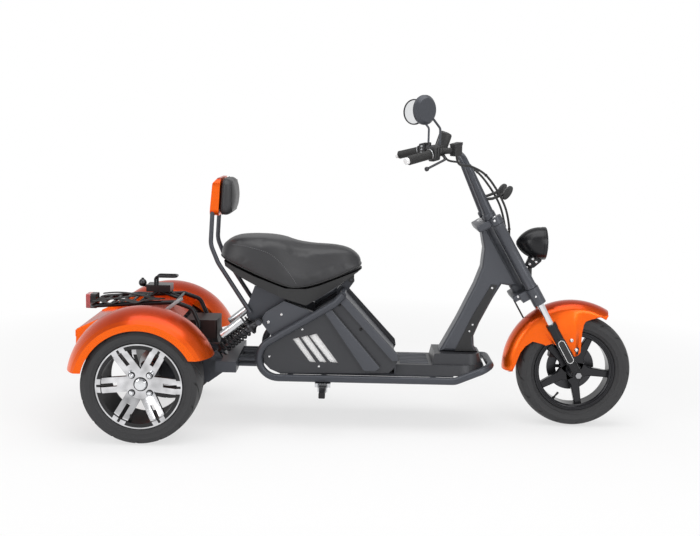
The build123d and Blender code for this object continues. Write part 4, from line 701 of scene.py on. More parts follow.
# %% [markdown]
# Piping closes the cover at its lower edge, and a stitched seam runs down each flank. Both are laid
# on the finished cover: each point is moved to the nearest spot of the surface, or shot at it from
# the side. The stitches are short threads with gaps between them.

# %% Piping and stitches
flank_seam = [
    (0.320, 0.748), (0.365, 0.746), (0.410, 0.737), (0.455, 0.725), (0.490, 0.706), (0.520, 0.680),
    (0.548, 0.648), (0.570, 0.617), (0.584, 0.592),
]


def on_cover(piece, spot):
    """The nearest spot of a piece's surface."""
    found, place, normal, _ = piece.closest_point_on_mesh(spot)
    return place + normal * 0.0006 if found else spot


piping = Batch()
seam_right = [at(forward, seam, -seam_out) for forward, _, _, _, seam_out, seam in seat_sections]
seam_left = [at(forward, seam, seam_out) for forward, _, _, _, seam_out, seam in seat_sections]
welt = [on_cover(cushion, spot) for spot in curve_through(seam_right + seam_left[::-1], 8, ring=True)]
piping.tube(welt, 0.0032, steps=8, ring=True)
piping.piece("seat_piping", "trim_black", "seat", sharp=60)

stitches = Batch()
for side in mirrored.values():
    line = curve_through([at(forward, up, side * 0.15) for forward, up in flank_seam], 10)
    laid = []
    for spot in line:
        hit, place, normal, _ = cushion.ray_cast(Vector((spot.x, side * 0.4, spot.z)), -side * sideways)
        if hit:
            laid.append(place + normal * 0.0005)
    for start in range(0, len(laid) - 4, 2):
        stitches.tube(laid[start:start + 2], 0.0008, steps=6)
if stitches.points:
    stitches.piece("seat_stitches", "thread", "seat", slot="leather", sharp=60)
print("stitches", len(stitches.faces) // 8)

# %% [markdown]
# The backrest pad is a smaller cushion against a painted shell. It is built as loops that follow the
# shell's rounded outline and draw in towards the front, and is blown up in the same way.

# %% Backrest pad
rest_middle = 0.938
rest_foot, rest_low = 0.2665, 0.076
rest_run, rest_rise = 0.055, 0.86
pad_half_wide, pad_half_tall = 0.1185, 0.0745
top_thinning = 2.2
pad_loops = [
    # depth forward of the shell, how far the outline is drawn in
    (0.0000, 0.004), (0.0080, 0.001), (0.0220, 0.000), (0.0360, 0.005), (0.0450, 0.014), (0.0515, 0.030),
    (0.0545, 0.050), (0.0550, 0.062),
]


def rounded_outline(half_wide, half_tall, corner, steps):
    """Points round a rectangle with round corners."""
    outline = []
    for quarter, (across, up) in enumerate(((1, 1), (-1, 1), (-1, -1), (1, -1))):
        for step in range(steps + 1):
            turn = pi / 2 * (quarter + step / steps)
            outline.append((
                across * (half_wide - corner) + corner * cos(turn),
                up * (half_tall - corner) + corner * sin(turn),
            ))
    return outline


rest = Batch()
loops = []
for depth, inset in pad_loops:
    corner = max(0.036 - inset * 0.3, 0.010)
    loop = []
    for aside, up in rounded_outline(pad_half_wide - inset, pad_half_tall - inset, corner, 5):
        shell = rest_foot + rest_run * (up + rest_low) / rest_rise
        loop.append(at(shell + depth * (1 - top_thinning * max(up, 0.0)), rest_middle + up, aside))
    loops.append(loop)
rest.loft(loops)
rest_pad = rest.piece("backrest_cover", "leather", "chassis")
upholster(rest_pad, 0.005, 0.003, 4)
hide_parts("backrest_pad")

pad_welts = Batch()
for place_in, radius in ((1, 0.0026), (4, 0.0016)):
    welt = [on_cover(rest_pad, spot) for spot in loops[place_in]]
    pad_welts.tube(welt, radius, steps=8, ring=True, up=(1, 0, 0))
pad_welts.piece("backrest_piping", "trim_black", "chassis", sharp=60)
print("backrest faces", len(rest_pad.data.polygons))

# %% [markdown]
# Screws hold every cover. A button head is one small turned outline: a dome with a socket sunk in
# it. The places come from the picture, on the face of the panel that each screw holds.

# %% Screws and nuts
button_shares = [
    (1.00, -0.3), (1.00, 0.10), (0.92, 0.34), (0.70, 0.52), (0.46, 0.58), (0.42, 0.34), (0.36, 0.30),
]
bright_screws = [
    # forward, up, distance aside of the face, radius
    (0.609, 0.412, 0.141, 0.0055), (0.679, 0.259, 0.141, 0.0055), (0.476, 0.296, 0.141, 0.0055),
    (0.523, 0.468, 0.128, 0.0060), (0.470, 0.436, 0.128, 0.0075), (1.384, 0.584, 0.0513, 0.0055),
    (1.310, 0.428, 0.0513, 0.0045), (1.298, 0.400, 0.0513, 0.0045),
]
dark_screws = [
    (0.757, 0.516, 0.141, 0.0065), (0.846, 0.417, 0.141, 0.0065), (0.300, 0.263, 0.145, 0.0080),
    (0.200, 0.262, 0.145, 0.0080),
]


def screw(batch, spot, axis, radius, steps=12):
    """One button-head screw with its socket."""
    batch.turned(spot, axis, [(radius * wide, radius * high) for wide, high in button_shares], steps)


for name, table, finish, slot in (
    ("bright_screws_chassis", bright_screws, "screw_steel", "steel"),
    ("dark_screws_chassis", dark_screws, "black_paint", None),
):
    batch = Batch()
    for forward, up, aside, radius in table:
        for side in mirrored.values():
            screw(batch, at(forward, up, side * aside), sideways * side, radius)
    batch.piece(name, finish, "chassis", slot)

steer_up = Vector((-0.5, 0.0, sqrt(0.75)))
steer_back = Vector((-sqrt(0.75), 0.0, -0.5))
fork_half = 0.092
yoke_top = 0.742


def on_fork(along, back=0.0, aside=0.0):
    """A point of the fork, given up along its legs and back from them."""
    return front_middle + steer_up * along + steer_back * back + sideways * aside


fork_screws = Batch()
for side in mirrored.values():
    for along, back, aside, radius in (
        (0.404, 0.064, 0.084, 0.0062), (0.393, 0.042, 0.084, 0.0062), (0.724, 0.040, 0.092, 0.0070),
        (0.732, 0.008, 0.120, 0.0055), (0.378, 0.004, 0.120, 0.0050),
    ):
        screw(fork_screws, on_fork(along, back, side * aside), sideways * side, radius)
    fork_screws.turned(on_fork(yoke_top, 0.0, side * fork_half), steer_up, [
        (0.0135, -0.002), (0.0135, 0.003), (0.0110, 0.005),
    ], 6)
stem_nut = [(0.019, -0.002), (0.019, 0.007), (0.015, 0.009)]
fork_screws.turned(on_fork(yoke_top, 0.045), steer_up, stem_nut, 6)
fork_screws.piece("fork_screws", "screw_steel", "steering", "steel")

# %% [markdown]
# The rear wheels carry the brightest metal of the trike: domed lug nuts round a turned cap. Each
# wheel also has a rubber valve through its barrel.

# %% Lug nuts, caps and valves
nut = [
    (0.0098, 0.000), (0.0098, 0.012), (0.0086, 0.0145), (0.0072, 0.017), (0.0040, 0.0190),
    (0.0010, 0.0195),
]
hub_cap = [
    (0.0235, 0.000), (0.0235, 0.006), (0.0215, 0.0085), (0.0205, 0.0145), (0.0180, 0.0162),
    (0.0100, 0.0158), (0.0060, 0.0172),
]
stem = [
    (0.0060, 0.0), (0.0050, 0.006), (0.0040, 0.010), (0.0040, 0.026), (0.0048, 0.0265),
    (0.0048, 0.034), (0.004, 0.035),
]
hub_face = half_track + 0.051
nut_circle = 0.049
nut_offsets = [wheel_way(radians(45) + tau * index / 4) * nut_circle for index in range(4)]
barrel_radius = 0.1475
disc_face, disc_bolt_circle = 0.050, 0.026


def valve_on(label, axle, degrees, lean, body):
    """A rubber valve on a wheel's barrel, which points to the axle and leans aside."""
    valve = Batch()
    outward = wheel_way(radians(degrees))
    valve.turned(axle + outward * barrel_radius, sideways * lean - outward, stem, 12)
    valve.piece("valve_" + label, "grip_rubber", body)


for label, side in mirrored.items():
    bright = Batch()
    centre = at(0, axle_up["rear"], side * hub_face)
    for offset in nut_offsets:
        bright.turned(centre + offset, sideways * side, nut, 18)
    bright.turned(centre, sideways * side, hub_cap, 28)
    bright.piece("lug_nuts_" + label, "chrome", "rear_wheel_" + label)
    axle = at(0, axle_up["rear"], side * (half_track + 0.070))
    valve_on(label, axle, -105, side * 0.5, "rear_wheel_" + label)
valve_on("front", front_middle - sideways * 0.008, -121, -0.4, "front_wheel")
disc_bolts = Batch()
for index in range(6):
    offset = sideways * disc_face + wheel_way(tau * index / 6 + 0.3) * disc_bolt_circle
    screw(disc_bolts, front_middle + offset, sideways, 0.0042, 10)
disc_bolts.piece("disc_screws", "screw_steel", "front_wheel", "steel")
print("wheel details done")

# %% [markdown]
# The raised ridge and the front rib of each side panel are pressed in one sheet on the real trike,
# so their edges are round and catch the light. The solid keeps their plain plates, and these caps
# with rounded edges lie over them.

# %% Panel ridges
def share_points(shares, back, low, length, height):
    """Points of an outline given in shares of its box."""
    return [(back + u * length, low + v * height) for u, v in shares]


ridge_line = share_points(
    [(0.00, 0.94), (0.11, 1.00), (1.00, 0.06), (0.90, 0.00), (0.72, 0.00)], 0.684, 0.246, 0.246, 0.272,
)
rib_line = share_points(
    [(0.00, 0.92), (0.10, 1.00), (0.98, 0.11), (1.00, 0.01), (0.89, 0.00)], 0.745, 0.288, 0.259, 0.276,
)
cap_floor = 0.1412


def swollen(outline, grow):
    """An outline whose points move out from its middle."""
    middle_x = sum(point[0] for point in outline) / len(outline)
    middle_z = sum(point[1] for point in outline) / len(outline)
    result = []
    for forward, up in outline:
        away = Vector((forward - middle_x, up - middle_z))
        move = away.normalized() * grow
        result.append((forward + move.x, up + move.y))
    return result


for label, side in mirrored.items():
    for name, outline, grow, face, bevel in (
        ("panel_ridge_", ridge_line, 0.003, 0.1562, 0.0085), ("panel_rib_", rib_line, 0.001, 0.1518, 0.0050),
    ):
        cap = Batch()
        cap.slab(swollen(outline, grow), side * cap_floor, side * face)
        cap.piece(name + label, "panel_paint", "chassis", bevel=bevel, sharp=80)
print("ridges done")

# %% [markdown]
# A coil spring is a tube along a helix. Its first and last turns are wound closer, as on a real
# shock, where the ends sit flat on the collars. One damper with its eyes and collars goes inside.

# %% Shocks
shock_out = 0.140
turns, coil_radius = 7.5, 0.0215
coils = Batch()
dampers = Batch()
bands = Batch()
for side in mirrored.values():
    low, high = at(0.262, 0.303, side * shock_out), at(0.432, 0.440, side * shock_out)
    run = high - low
    axis = run.normalized()
    beside = axis.cross(sideways)
    start, end = low + run * 0.175, low + run * 0.785
    helix = []
    for step in range(int(turns * 20) + 1):
        share = step / (turns * 20)
        rise = share + 0.035 * sin(tau * share)
        angle = tau * turns * share
        round_axis = sideways * cos(angle) + beside * sin(angle)
        helix.append(start + (end - start) * rise + round_axis * coil_radius)
    coils.tube(helix, 0.0040, steps=8, up=(0.3, 0.1, 0.9))
    length = run.length
    dampers.turned(low, axis, [
        (0.010, 0.012), (0.012, length * 0.12), (0.028, length * 0.13), (0.029, length * 0.165),
        (0.012, length * 0.17), (0.011, length * 0.60), (0.015, length * 0.62), (0.015, length * 0.79),
        (0.029, length * 0.795), (0.029, length * 0.835), (0.022, length * 0.86), (0.014, length * 0.90),
        (0.012, length - 0.012),
    ], 24)
    for eye in (low, high):
        dampers.turned(eye - sideways * 0.0148, sideways, [
            (0.0148, 0.0), (0.0150, 0.001), (0.0150, 0.0285), (0.0148, 0.0296),
        ], 20)
    lift = beside if beside.z > 0 else -beside
    for share, outward in ((0.30, -axis), (0.78, axis)):
        bands.turned(low + run * share + lift * 0.0463 - outward * 0.006, outward, [
            (0.0172, 0.0), (0.0182, 0.001), (0.0182, 0.006), (0.0160, 0.0085), (0.0100, 0.0095),
            (0.0050, 0.0090),
        ], 24)
spring = coils.piece("shock_springs", "black_paint", "chassis", sharp=70)
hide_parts("shocks")
dampers.piece("shock_dampers", "dark_steel", "chassis", "black_paint")
bands.piece("reservoir_ends", "alloy", "chassis")
print("shock faces", len(spring.data.polygons))

# %% [markdown]
# Rubber straps are woven over and under the bars of the rack, to hold a bag. A strap is a flat tube
# on a smooth line: its route dips below one bar and climbs over the next.

# %% Rack straps
straps = Batch()
strap_routes = [
    [(-0.252, 0.500, -0.096), (-0.205, 0.506, -0.088), (-0.160, 0.508, -0.060), (-0.110, 0.511, -0.020),
     (-0.062, 0.514, 0.024), (-0.015, 0.513, 0.066), (0.040, 0.518, 0.098)],
    [(-0.252, 0.500, 0.096), (-0.205, 0.506, 0.088), (-0.160, 0.511, 0.060), (-0.110, 0.514, 0.020),
     (-0.062, 0.517, -0.024), (-0.015, 0.514, -0.066), (0.040, 0.518, -0.098)],
    [(-0.250, 0.497, -0.030), (-0.205, 0.503, -0.040), (-0.150, 0.504, -0.062), (-0.100, 0.508, -0.090),
     (-0.060, 0.500, -0.118), (-0.050, 0.480, -0.124), (-0.070, 0.466, -0.104)],
    [(-0.245, 0.488, -0.108), (-0.215, 0.508, -0.122), (-0.170, 0.497, -0.124), (-0.120, 0.512, -0.122),
     (-0.070, 0.503, -0.124), (-0.020, 0.517, -0.122), (0.030, 0.520, -0.122)],
]
for route in strap_routes:
    for flip in (1, -1) if route is strap_routes[2] else (1,):
        line = curve_through([at(forward, up, flip * aside) for forward, up, aside in route], 8)
        straps.tube(line, 0.0125, steps=10, flat=0.22)
straps.piece("rack_straps", "grip_rubber", "chassis", sharp=70)
silver_strap = Batch()
for route in (
    [(0.118, 0.520, -0.104), (0.100, 0.512, -0.122), (0.072, 0.490, -0.127), (0.045, 0.470, -0.122),
     (0.030, 0.462, -0.100)],
    [(-0.020, 0.481, -0.122), (-0.050, 0.470, -0.127), (-0.085, 0.462, -0.124), (-0.110, 0.466, -0.100)],
):
    line = curve_through([at(*spot) for spot in route], 8)
    silver_strap.tube(line, 0.0070, steps=10, flat=0.22, up=(0, 1, 0.2))
silver_strap.piece("rack_tie", "web_grey", "chassis", slot="alloy", sharp=70)
print("straps done")

# %% [markdown]
# The grips are sleeves of soft rubber with rings that a hand can feel, a flange at the inner end and
# a turned edge at the outer end. Their line is the line of the bar.

# %% Grips
bar_elbow = {side: at(1.150, 1.148, side * 0.262) for side in mirrored.values()}
bar_tip = {side: at(1.004, 1.108, side * 0.350) for side in mirrored.values()}
bar_way = {side: (bar_elbow[side] - bar_tip[side]).normalized() for side in mirrored.values()}
sleeves = Batch()
collars = Batch()
for side in mirrored.values():
    tip, along = bar_tip[side], bar_way[side]
    outline = [(0.0120, 0.000), (0.0165, 0.001), (0.0178, 0.004), (0.0178, 0.008)]
    for ring in range(19):
        start = 0.0095 + ring * 0.0046
        outline += [
            (0.0166, start), (0.0176, start + 0.0012), (0.0176, start + 0.0032), (0.0166, start + 0.0044),
        ]
    outline += [(0.0175, 0.0985), (0.0205, 0.1000), (0.0210, 0.1040), (0.0205, 0.1070), (0.0150, 0.1079)]
    sleeves.turned(tip, along, outline, 32)
    collars.turned(tip, along, [
        (0.0175, 0.0990), (0.0214, 0.1010), (0.0214, 0.1030), (0.0175, 0.1045),
    ], 32)
sleeve = sleeves.piece("ribbed_grips", "grip_rubber", "steering", sharp=50)
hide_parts("grips")
collars.piece("grip_collars", "alloy", "steering")
print("grip faces", len(sleeve.data.polygons))

# %% [markdown]
# The head lamp gets what light needs: a bright bowl with rings behind the glass, five small lamps in
# it, a rim, and the long slots along its shell. Everything is turned about the lamp's own axis.

# %% Head lamp
lamp_tip = at(1.484, 0.768)
forward_axis = Vector((1, 0, 0))
bowl = Batch()
bowl.turned(lamp_tip, forward_axis, [
    (0.0600, 0.1184), (0.0600, 0.1200), (0.0520, 0.1196), (0.0500, 0.1210), (0.0400, 0.1196),
    (0.0380, 0.1212), (0.0240, 0.1196), (0.0220, 0.1214), (0.0050, 0.1208),
], 40)
bowl.piece("lamp_bowl", "chrome", "steering")
bowl_floor, light_circle = 0.1196, 0.031
lights = Batch()
for index in range(5):
    turn = tau * index / 5 + pi / 2
    spot = lamp_tip + Vector((bowl_floor, cos(turn) * light_circle, sin(turn) * light_circle))
    lights.turned(spot, forward_axis, [
        (0.0090, 0.0), (0.0090, 0.0022), (0.0060, 0.0040), (0.0020, 0.0046),
    ], 16)
lights.turned(lamp_tip + forward_axis * bowl_floor, forward_axis, [
    (0.0120, 0.0), (0.0120, 0.0026), (0.0080, 0.0050),
], 20)
lights.piece("lamp_lights", "pale_plastic", "steering")
lamp_trim = Batch()
lamp_trim.turned(lamp_tip, forward_axis, [
    (0.0560, 0.1165), (0.0672, 0.1040), (0.0682, 0.1045), (0.0682, 0.1175), (0.0670, 0.1190),
    (0.0640, 0.1196), (0.0612, 0.1180),
], 48)
lamp_trim.piece("lamp_rim", "black_paint", "steering")
slot_spread = radians(24)
slots = Batch()
slot_dots = Batch()
for side in mirrored.values():
    for row in (-1, 0, 1):
        tilt = slot_spread * row
        out = Vector((0, side * cos(tilt), sin(tilt)))
        line = []
        for share in (0.00, 0.33, 0.66, 1.00):
            ahead = forward_axis * (0.052 + 0.036 * share)
            line.append(lamp_tip + ahead + out * (0.0556 + 0.0070 * share))
        slots.tube(curve_through(line, 4), 0.0042, steps=10, flat=0.5, up=out)
        dot = line[2] + out * 0.0012
        slot_dots.turned(dot, out, [(0.0026, 0.0), (0.0026, 0.0012), (0.0014, 0.0018)], 10)
slots.piece("lamp_slots", "trim_black", "steering")
slot_dots.piece("lamp_slot_pins", "chrome", "steering")
print("lamp done")

# %% [markdown]
# Each fork leg has a flat face with a long oval reflector in a pale outline. The badge below it is
# left off, and the leg stays plain there.

# %% Fork leg reflectors
def oval_on_leg(batch, centre_along, length, wide, low, high, side, steps=10):
    """A long oval plate on the outer face of a fork leg."""
    loops = []
    for aside in (low, high):
        loop = []
        for end in (1, -1):
            for step in range(steps + 1):
                turn = pi * step / steps + (0 if end > 0 else pi)
                back = wide / 2 * cos(turn)
                along = centre_along + end * (length - wide) / 2 + wide / 2 * sin(turn)
                loop.append(on_fork(along, back, side * aside))
        loops.append(loop)
    batch.loft(loops)
    return loops[1]


reflector_along = 0.112
leg_face, pad_face, lens_face = 0.098, 0.1125, 0.1140
leg_pads = Batch()
leg_lenses = Batch()
leg_lines = Batch()
for side in mirrored.values():
    oval_on_leg(leg_pads, reflector_along, 0.130, 0.040, leg_face, pad_face, side)
    edge = oval_on_leg(leg_lenses, reflector_along, 0.104, 0.026, pad_face - 0.0025, lens_face, side)
    leg_lines.tube(edge, 0.0011, steps=8, ring=True, up=(0, 1, 0))
leg_pads.piece("leg_pads", "black_paint", "steering", bevel=0.003, sharp=60)
leg_lenses.piece("leg_reflectors", "trim_black", "steering")
leg_lines.piece("reflector_lines", "pale_plastic", "steering", sharp=70)
print("reflectors done")

# %% [markdown]
# Small things that a rider touches come next: switch buttons and the lids of the fluid boxes with
# their screws. Ribs moulded in the deck keep a foot from slipping.

# %% Controls and deck
lever_perch, box_ahead, box_along = 0.152, 0.050, 0.038
box_half_ahead, box_half_along = 0.019, 0.017
lid_top = 0.0262
buttons = Batch()
dark_parts = Batch()
for side in mirrored.values():
    tip, along = bar_tip[side], bar_way[side]
    rider = skyward.cross(along) * side
    rider = rider if rider.x < 0 else -rider
    for height, radius in ((0.014, 0.0050), (0.000, 0.0042), (-0.014, 0.0050)):
        spot = tip + along * 0.125 + rider * 0.0205 + skyward * height
        buttons.turned(spot, rider, [(radius, 0.0), (radius, 0.0022), (radius * 0.7, 0.0034)], 14)
    box = tip + along * (lever_perch + box_along) - rider * box_ahead
    lid = []
    for height, grow in ((0.0212, 0.0006), (0.0252, 0.0006), (lid_top, -0.0020)):
        out, beside = rider * (box_half_ahead + grow), along * (box_half_along + grow)
        lid.append([
            box + skyward * height + out * u + beside * v for u, v in ((-1, 1), (1, 1), (1, -1), (-1, -1))
        ])
    dark_parts.loft(lid)
    for share in (0.7, -0.7):
        spot = box + skyward * lid_top + (along * box_half_along - rider * box_half_ahead) * share
        screw(buttons, spot, skyward, 0.0024, 8)
buttons.piece("switch_buttons", "web_grey", "steering", slot="alloy")
dark_parts.piece("fluid_box_lids", "trim_black", "steering")

ribs = Batch()
for row in range(-3, 4):
    aside = row * 0.026
    ribs.loft([
        [at(forward, up, aside + across) for across, up in (
            (-0.006, 0.2675), (-0.0045, 0.2705), (0.0045, 0.2705), (0.006, 0.2675),
        )]
        for forward in (1.012, 1.130)
    ])
ribs.piece("deck_ribs", "panel_paint", "chassis", bevel=0.0012)
print("controls done")

# %% [markdown]
# The handlebar's risers are slate cones that slim towards the bend. A bent bar is a route whose
# corners are rounded, and a cone is an outline turned about its own line. The fork's sleeves are
# turned too, with a bead at each end, and the yokes get blocks with soft edges.

# %% Handlebar and fork sleeves
riser_out = 0.076
riser_foot = {side: on_fork(0.7423, 0.014, side * riser_out) for side in mirrored.values()}
riser_knee = {side: at(1.240, 1.128, side * riser_out) for side in mirrored.values()}


def rounded_route(corners, cut, steps=6):
    """A route through corners, each rounded over a length on both sides of it."""
    route = [corners[0]]
    for before, corner, after in zip(corners, corners[1:], corners[2:]):
        start = corner + (before - corner).normalized() * cut
        end = corner + (after - corner).normalized() * cut
        for step in range(steps + 1):
            share = step / steps
            route.append(start * (1 - share) ** 2 + corner * (2 * share * (1 - share)) + end * share ** 2)
    route.append(corners[-1])
    return route


def fork_block(batch, along, back, half):
    """A block square to the fork between two levels along it and two distances back from it."""
    batch.loft([
        [on_fork(level, back[end], aside * half) for end, aside in ((0, -1), (1, -1), (1, 1), (0, 1))]
        for level in along
    ])


bar = Batch()
for side in mirrored.values():
    foot, knee = riser_foot[side], riser_knee[side]
    bar.tube(rounded_route([foot, knee, bar_elbow[side], bar_tip[side]], 0.045), 0.011, steps=14)
    rise = (knee - foot).length
    bar.turned(foot, knee - foot, [
        (0.0215, 0.0), (0.0215, 0.030), (0.0208, 0.050), (0.0150, rise * 0.78), (0.0145, rise * 0.82),
        (0.0118, rise * 0.84),
    ], 28)
    bar.turned(foot, steer_up, [(0.0255, 0.0), (0.0265, 0.002), (0.0265, 0.020), (0.0235, 0.024)], 28)
brace = [knee + (bar_elbow[side] - knee) * 0.15 for side, knee in riser_knee.items()]
bar.tube(brace, 0.008, steps=14)
fork_block(bar, (0.7430, 0.7640), (0.000, 0.028), 0.070)
bar_piece = bar.piece("handlebar_tubes", "frame_paint", "steering", sharp=50)
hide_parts("handlebar")

yoke_blocks = Batch()
fork_block(yoke_blocks, (0.7140, 0.7415), (-0.006, 0.082), 0.099)
fork_block(yoke_blocks, (0.3870, 0.4120), (0.010, 0.086), 0.084)
yoke_blocks.piece("yoke_blocks", "panel_paint", "steering", bevel=0.006, sharp=70)
sleeves = Batch()
for side in mirrored.values():
    sleeves.turned(on_fork(0.4124, 0.0, side * fork_half), steer_up, [
        (0.0215, 0.0), (0.0240, 0.0015), (0.0240, 0.0100), (0.0225, 0.0115), (0.0225, 0.2800),
        (0.0240, 0.2815), (0.0240, 0.2970), (0.0215, 0.2990),
    ], 32)
sleeve_piece = sleeves.piece("fork_sleeves", "panel_paint", "steering", sharp=50)
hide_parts("fork_shrouds")
print("bar faces", len(bar_piece.data.polygons))

# %% [markdown]
# Each end of the bar carries a switch block, a lever on its perch, and a fluid box in front of it.
# All of them sit square to the grip, so they are drawn in three directions: along the bar, away
# from the rider, and up.

# %% Switch blocks, levers and fluid boxes
block_end = 0.1388
fluid_box = {}
blocks = Batch()
blades = Batch()


def boxed(batch, spot, across, upward, forward, half_wide, half_tall, corner, stations):
    """A block with round corners, whose outline is drawn in a little at each depth forward."""
    loops = []
    for depth, inset in stations:
        outline = rounded_outline(half_wide - inset, half_tall - inset, corner, 4)
        loops.append([spot + forward * depth + across * u + upward * v for u, v in outline])
    batch.loft(loops)


for side in mirrored.values():
    tip, along = bar_tip[side], bar_way[side]
    ahead = along.cross(skyward).normalized() * side
    ahead = ahead if ahead.x > 0 else -ahead
    boxed(blocks, tip, ahead, skyward, along, 0.021, 0.028, 0.008, (
        (0.1083, 0.003), (0.1110, 0.0), (0.1230, 0.0), (0.1238, 0.0008), (0.1246, 0.0), (0.1360, 0.0),
        (block_end, 0.003),
    ))
    blocks.turned(tip + along * block_end, along, [
        (0.0155, 0.0), (0.0170, 0.002), (0.0170, 0.018), (0.0155, 0.0200),
    ], 24)
    perch = tip + along * lever_perch
    fluid_box[side] = perch + ahead * box_ahead + along * box_along
    blocks.turned(perch, skyward, [(0.0095, 0.0), (0.0095, 0.020), (0.0080, 0.0258)], 18)
    reach = fluid_box[side] - perch
    blocks.turned(perch, reach, [(0.0120, 0.0), (0.0120, reach.length * 0.9), (0.0090, reach.length)], 20)
    boxed(blocks, fluid_box[side], along, ahead, skyward, box_half_along, box_half_ahead, 0.005, (
        (-0.021, 0.002), (-0.019, 0.0), (0.014, 0.0), (0.015, -0.001), (0.0212, -0.001),
    ))
    root = perch + ahead * 0.010 - skyward * 0.010
    knuckle = root + ahead * 0.030 - skyward * 0.016
    end = knuckle - along * 0.088 - skyward * 0.016
    blades.tube(rounded_route([root, knuckle, end], 0.014), 0.0070, steps=10, flat=0.6)
    blades.turned(end - (end - knuckle).normalized() * 0.004, end - knuckle, [
        (0.0040, 0.0), (0.0078, 0.003), (0.0090, 0.008), (0.0078, 0.013), (0.0040, 0.016),
    ], 16)
block_piece = blocks.piece("control_blocks", "trim_black", "steering", sharp=50)
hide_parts("bar_controls")
blades.piece("brake_levers", "dark_steel", "steering", "alloy", sharp=60)

display_tilt, winker_tilt = radians(72), radians(60)
display_out, display_up = wheel_way(display_tilt + pi / 2), wheel_way(display_tilt)
display_middle = at(1.1645, 1.175)
pod = Batch()
boxed(pod, display_middle, sideways, display_up, display_out, 0.044, 0.042, 0.010, (
    (-0.023, 0.008), (-0.019, 0.003), (-0.004, 0.0), (0.020, 0.0), (0.023, 0.002), (0.0228, 0.006),
    (0.0180, 0.007),
))
for side in mirrored.values():
    aside = sideways * side * 0.020
    foot = (brace[0] + brace[1]) / 2 + aside
    head = display_middle - display_out * 0.018 - display_up * 0.020 + aside
    pod.tube([foot, head], 0.0055, steps=12)
pod_piece = pod.piece("display_pod", "trim_black", "steering", sharp=45)
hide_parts("display")
screen = Batch()
boxed(screen, display_middle, sideways, display_up, display_out, 0.036, 0.034, 0.006, (
    (0.0175, 0.0), (0.0195, 0.0), (0.0200, 0.0012),
))
screen.piece("display_screen", "black_paint", "steering", sharp=45)

winkers = Batch()
for side in mirrored.values():
    middle = at(1.425, 0.979, side * riser_out)
    loops = []
    for depth, grow in ((-0.019, -0.003), (-0.016, 0.0), (0.016, 0.0), (0.019, -0.003)):
        long = wheel_way(winker_tilt) * (0.031 + grow)
        short = wheel_way(winker_tilt + pi / 2) * (0.0135 + grow)
        turns_round = [tau * step / 28 for step in range(28)]
        loops.append([
            middle + sideways * depth + long * cos(turn) + short * sin(turn) for turn in turns_round
        ])
    winkers.loft(loops)
    root = riser_foot[side] + (riser_knee[side] - riser_foot[side]) * 0.30
    winkers.tube([root, root + Vector((0.040, 0, 0.004)), middle], 0.0060, steps=12)
winker_piece = winkers.piece("signal_pods", "trim_black", "steering", sharp=50)
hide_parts("turn_signals")
print("controls rebuilt")

# %% [markdown]
# Each mirror glass sits in a thin dark ring. The ring is turned about the glass's own facing, which
# is read from the largest face of the solid's mesh.

# %% Mirror rings
mirror_node = frame["nodes"]["mirror_glass"]
placed, glass = mirror_node.matrix_world, mirror_node.data
mirror_rings = Batch()
for side in mirrored.values():
    panes = [face for face in glass.polygons if (placed @ face.center).y * side > 0]
    pane = max(panes, key=lambda face: face.area)
    corners = [placed @ glass.vertices[index].co for face in panes for index in face.vertices]
    low = Vector([min(corner[axis] for corner in corners) for axis in range(3)])
    high = Vector([max(corner[axis] for corner in corners) for axis in range(3)])
    middle = (low + high) / 2
    facing = (placed.to_3x3() @ pane.normal).normalized()
    facing = facing if facing.x < 0 else -facing
    reach = max((corner - middle).length for corner in corners)
    beside = facing.cross(skyward).normalized()
    above = beside.cross(facing)
    inner, outer = reach - 0.002, reach + 0.0025
    band = ((inner, -0.003), (outer, -0.003), (outer, 0.0030), (inner, 0.0040))
    mirror_rings.loft([
        [middle + (beside * cos(turn) + above * sin(turn)) * wide + facing * deep for wide, deep in band]
        for turn in (tau * step / 48 for step in range(48))
    ], ring=True)
mirror_rings.piece("mirror_rings", "black_paint", "steering", sharp=50)

# %% [markdown]
# Brake hoses leave the fluid boxes, arch forward over the risers and dive between the fork's legs.
# One more runs from the lower yoke down to the caliper. They are held at both ends, so they are
# plain tubes on smooth lines. Small ties gather them.

# %% Brake hoses
hose_shares = [
    (0.06, 0.08, 0.23), (0.22, 0.10, 0.42), (0.40, 0.16, 0.60), (0.55, 0.27, 0.72), (0.67, 0.40, 0.81),
    (0.73, 0.53, 0.87), (0.75, 0.64, 0.92), (0.79, 0.76, 0.95), (0.89, 0.86, 0.99),
]
hoses = Batch()
ties = Batch()
for side in mirrored.values():
    head = fluid_box[side] - skyward * 0.012
    foot = on_fork(0.4123, 0.008, side * 0.028)
    span = foot - head
    spots = [head + Vector((span.x * u, span.y * w, span.z * v)) for u, v, w in hose_shares]
    route = curve_through([head] + spots + [foot], 8)
    hoses.tube(route, 0.0046, steps=10)
    for share in (0.30, 0.62, 0.80):
        spot = route[int(share * len(route))]
        heading = route[int(share * len(route)) + 1] - spot
        ties.turned(spot, heading, [
            (0.0044, 0.0), (0.0062, 0.0005), (0.0062, 0.005), (0.0044, 0.0055),
        ], 12)
lower_head = on_fork(0.3868, 0.076, 0.076)
lower_knee = lower_head - steer_up * 0.208
hoses.tube(rounded_route([
    lower_head, lower_knee, lower_knee + Vector((0.072, -0.020, -0.058)),
], 0.030), 0.0036, steps=10)
hoses.piece("brake_hoses", "grip_rubber", "steering", sharp=70)
ties.piece("hose_ties", "trim_black", "steering", sharp=50)
print("hoses done")

# %% [markdown]
# The front fender is one pressed sheet: a crown across the tyre, a narrow ridge on each shoulder, and
# flat cheeks whose lower edge rises and falls. Each column of its grid runs from one lower edge over
# the crown to the other, so one table of places draws it. A tab swells out over the pad on each fork
# leg. The sheet is then given its thickness.

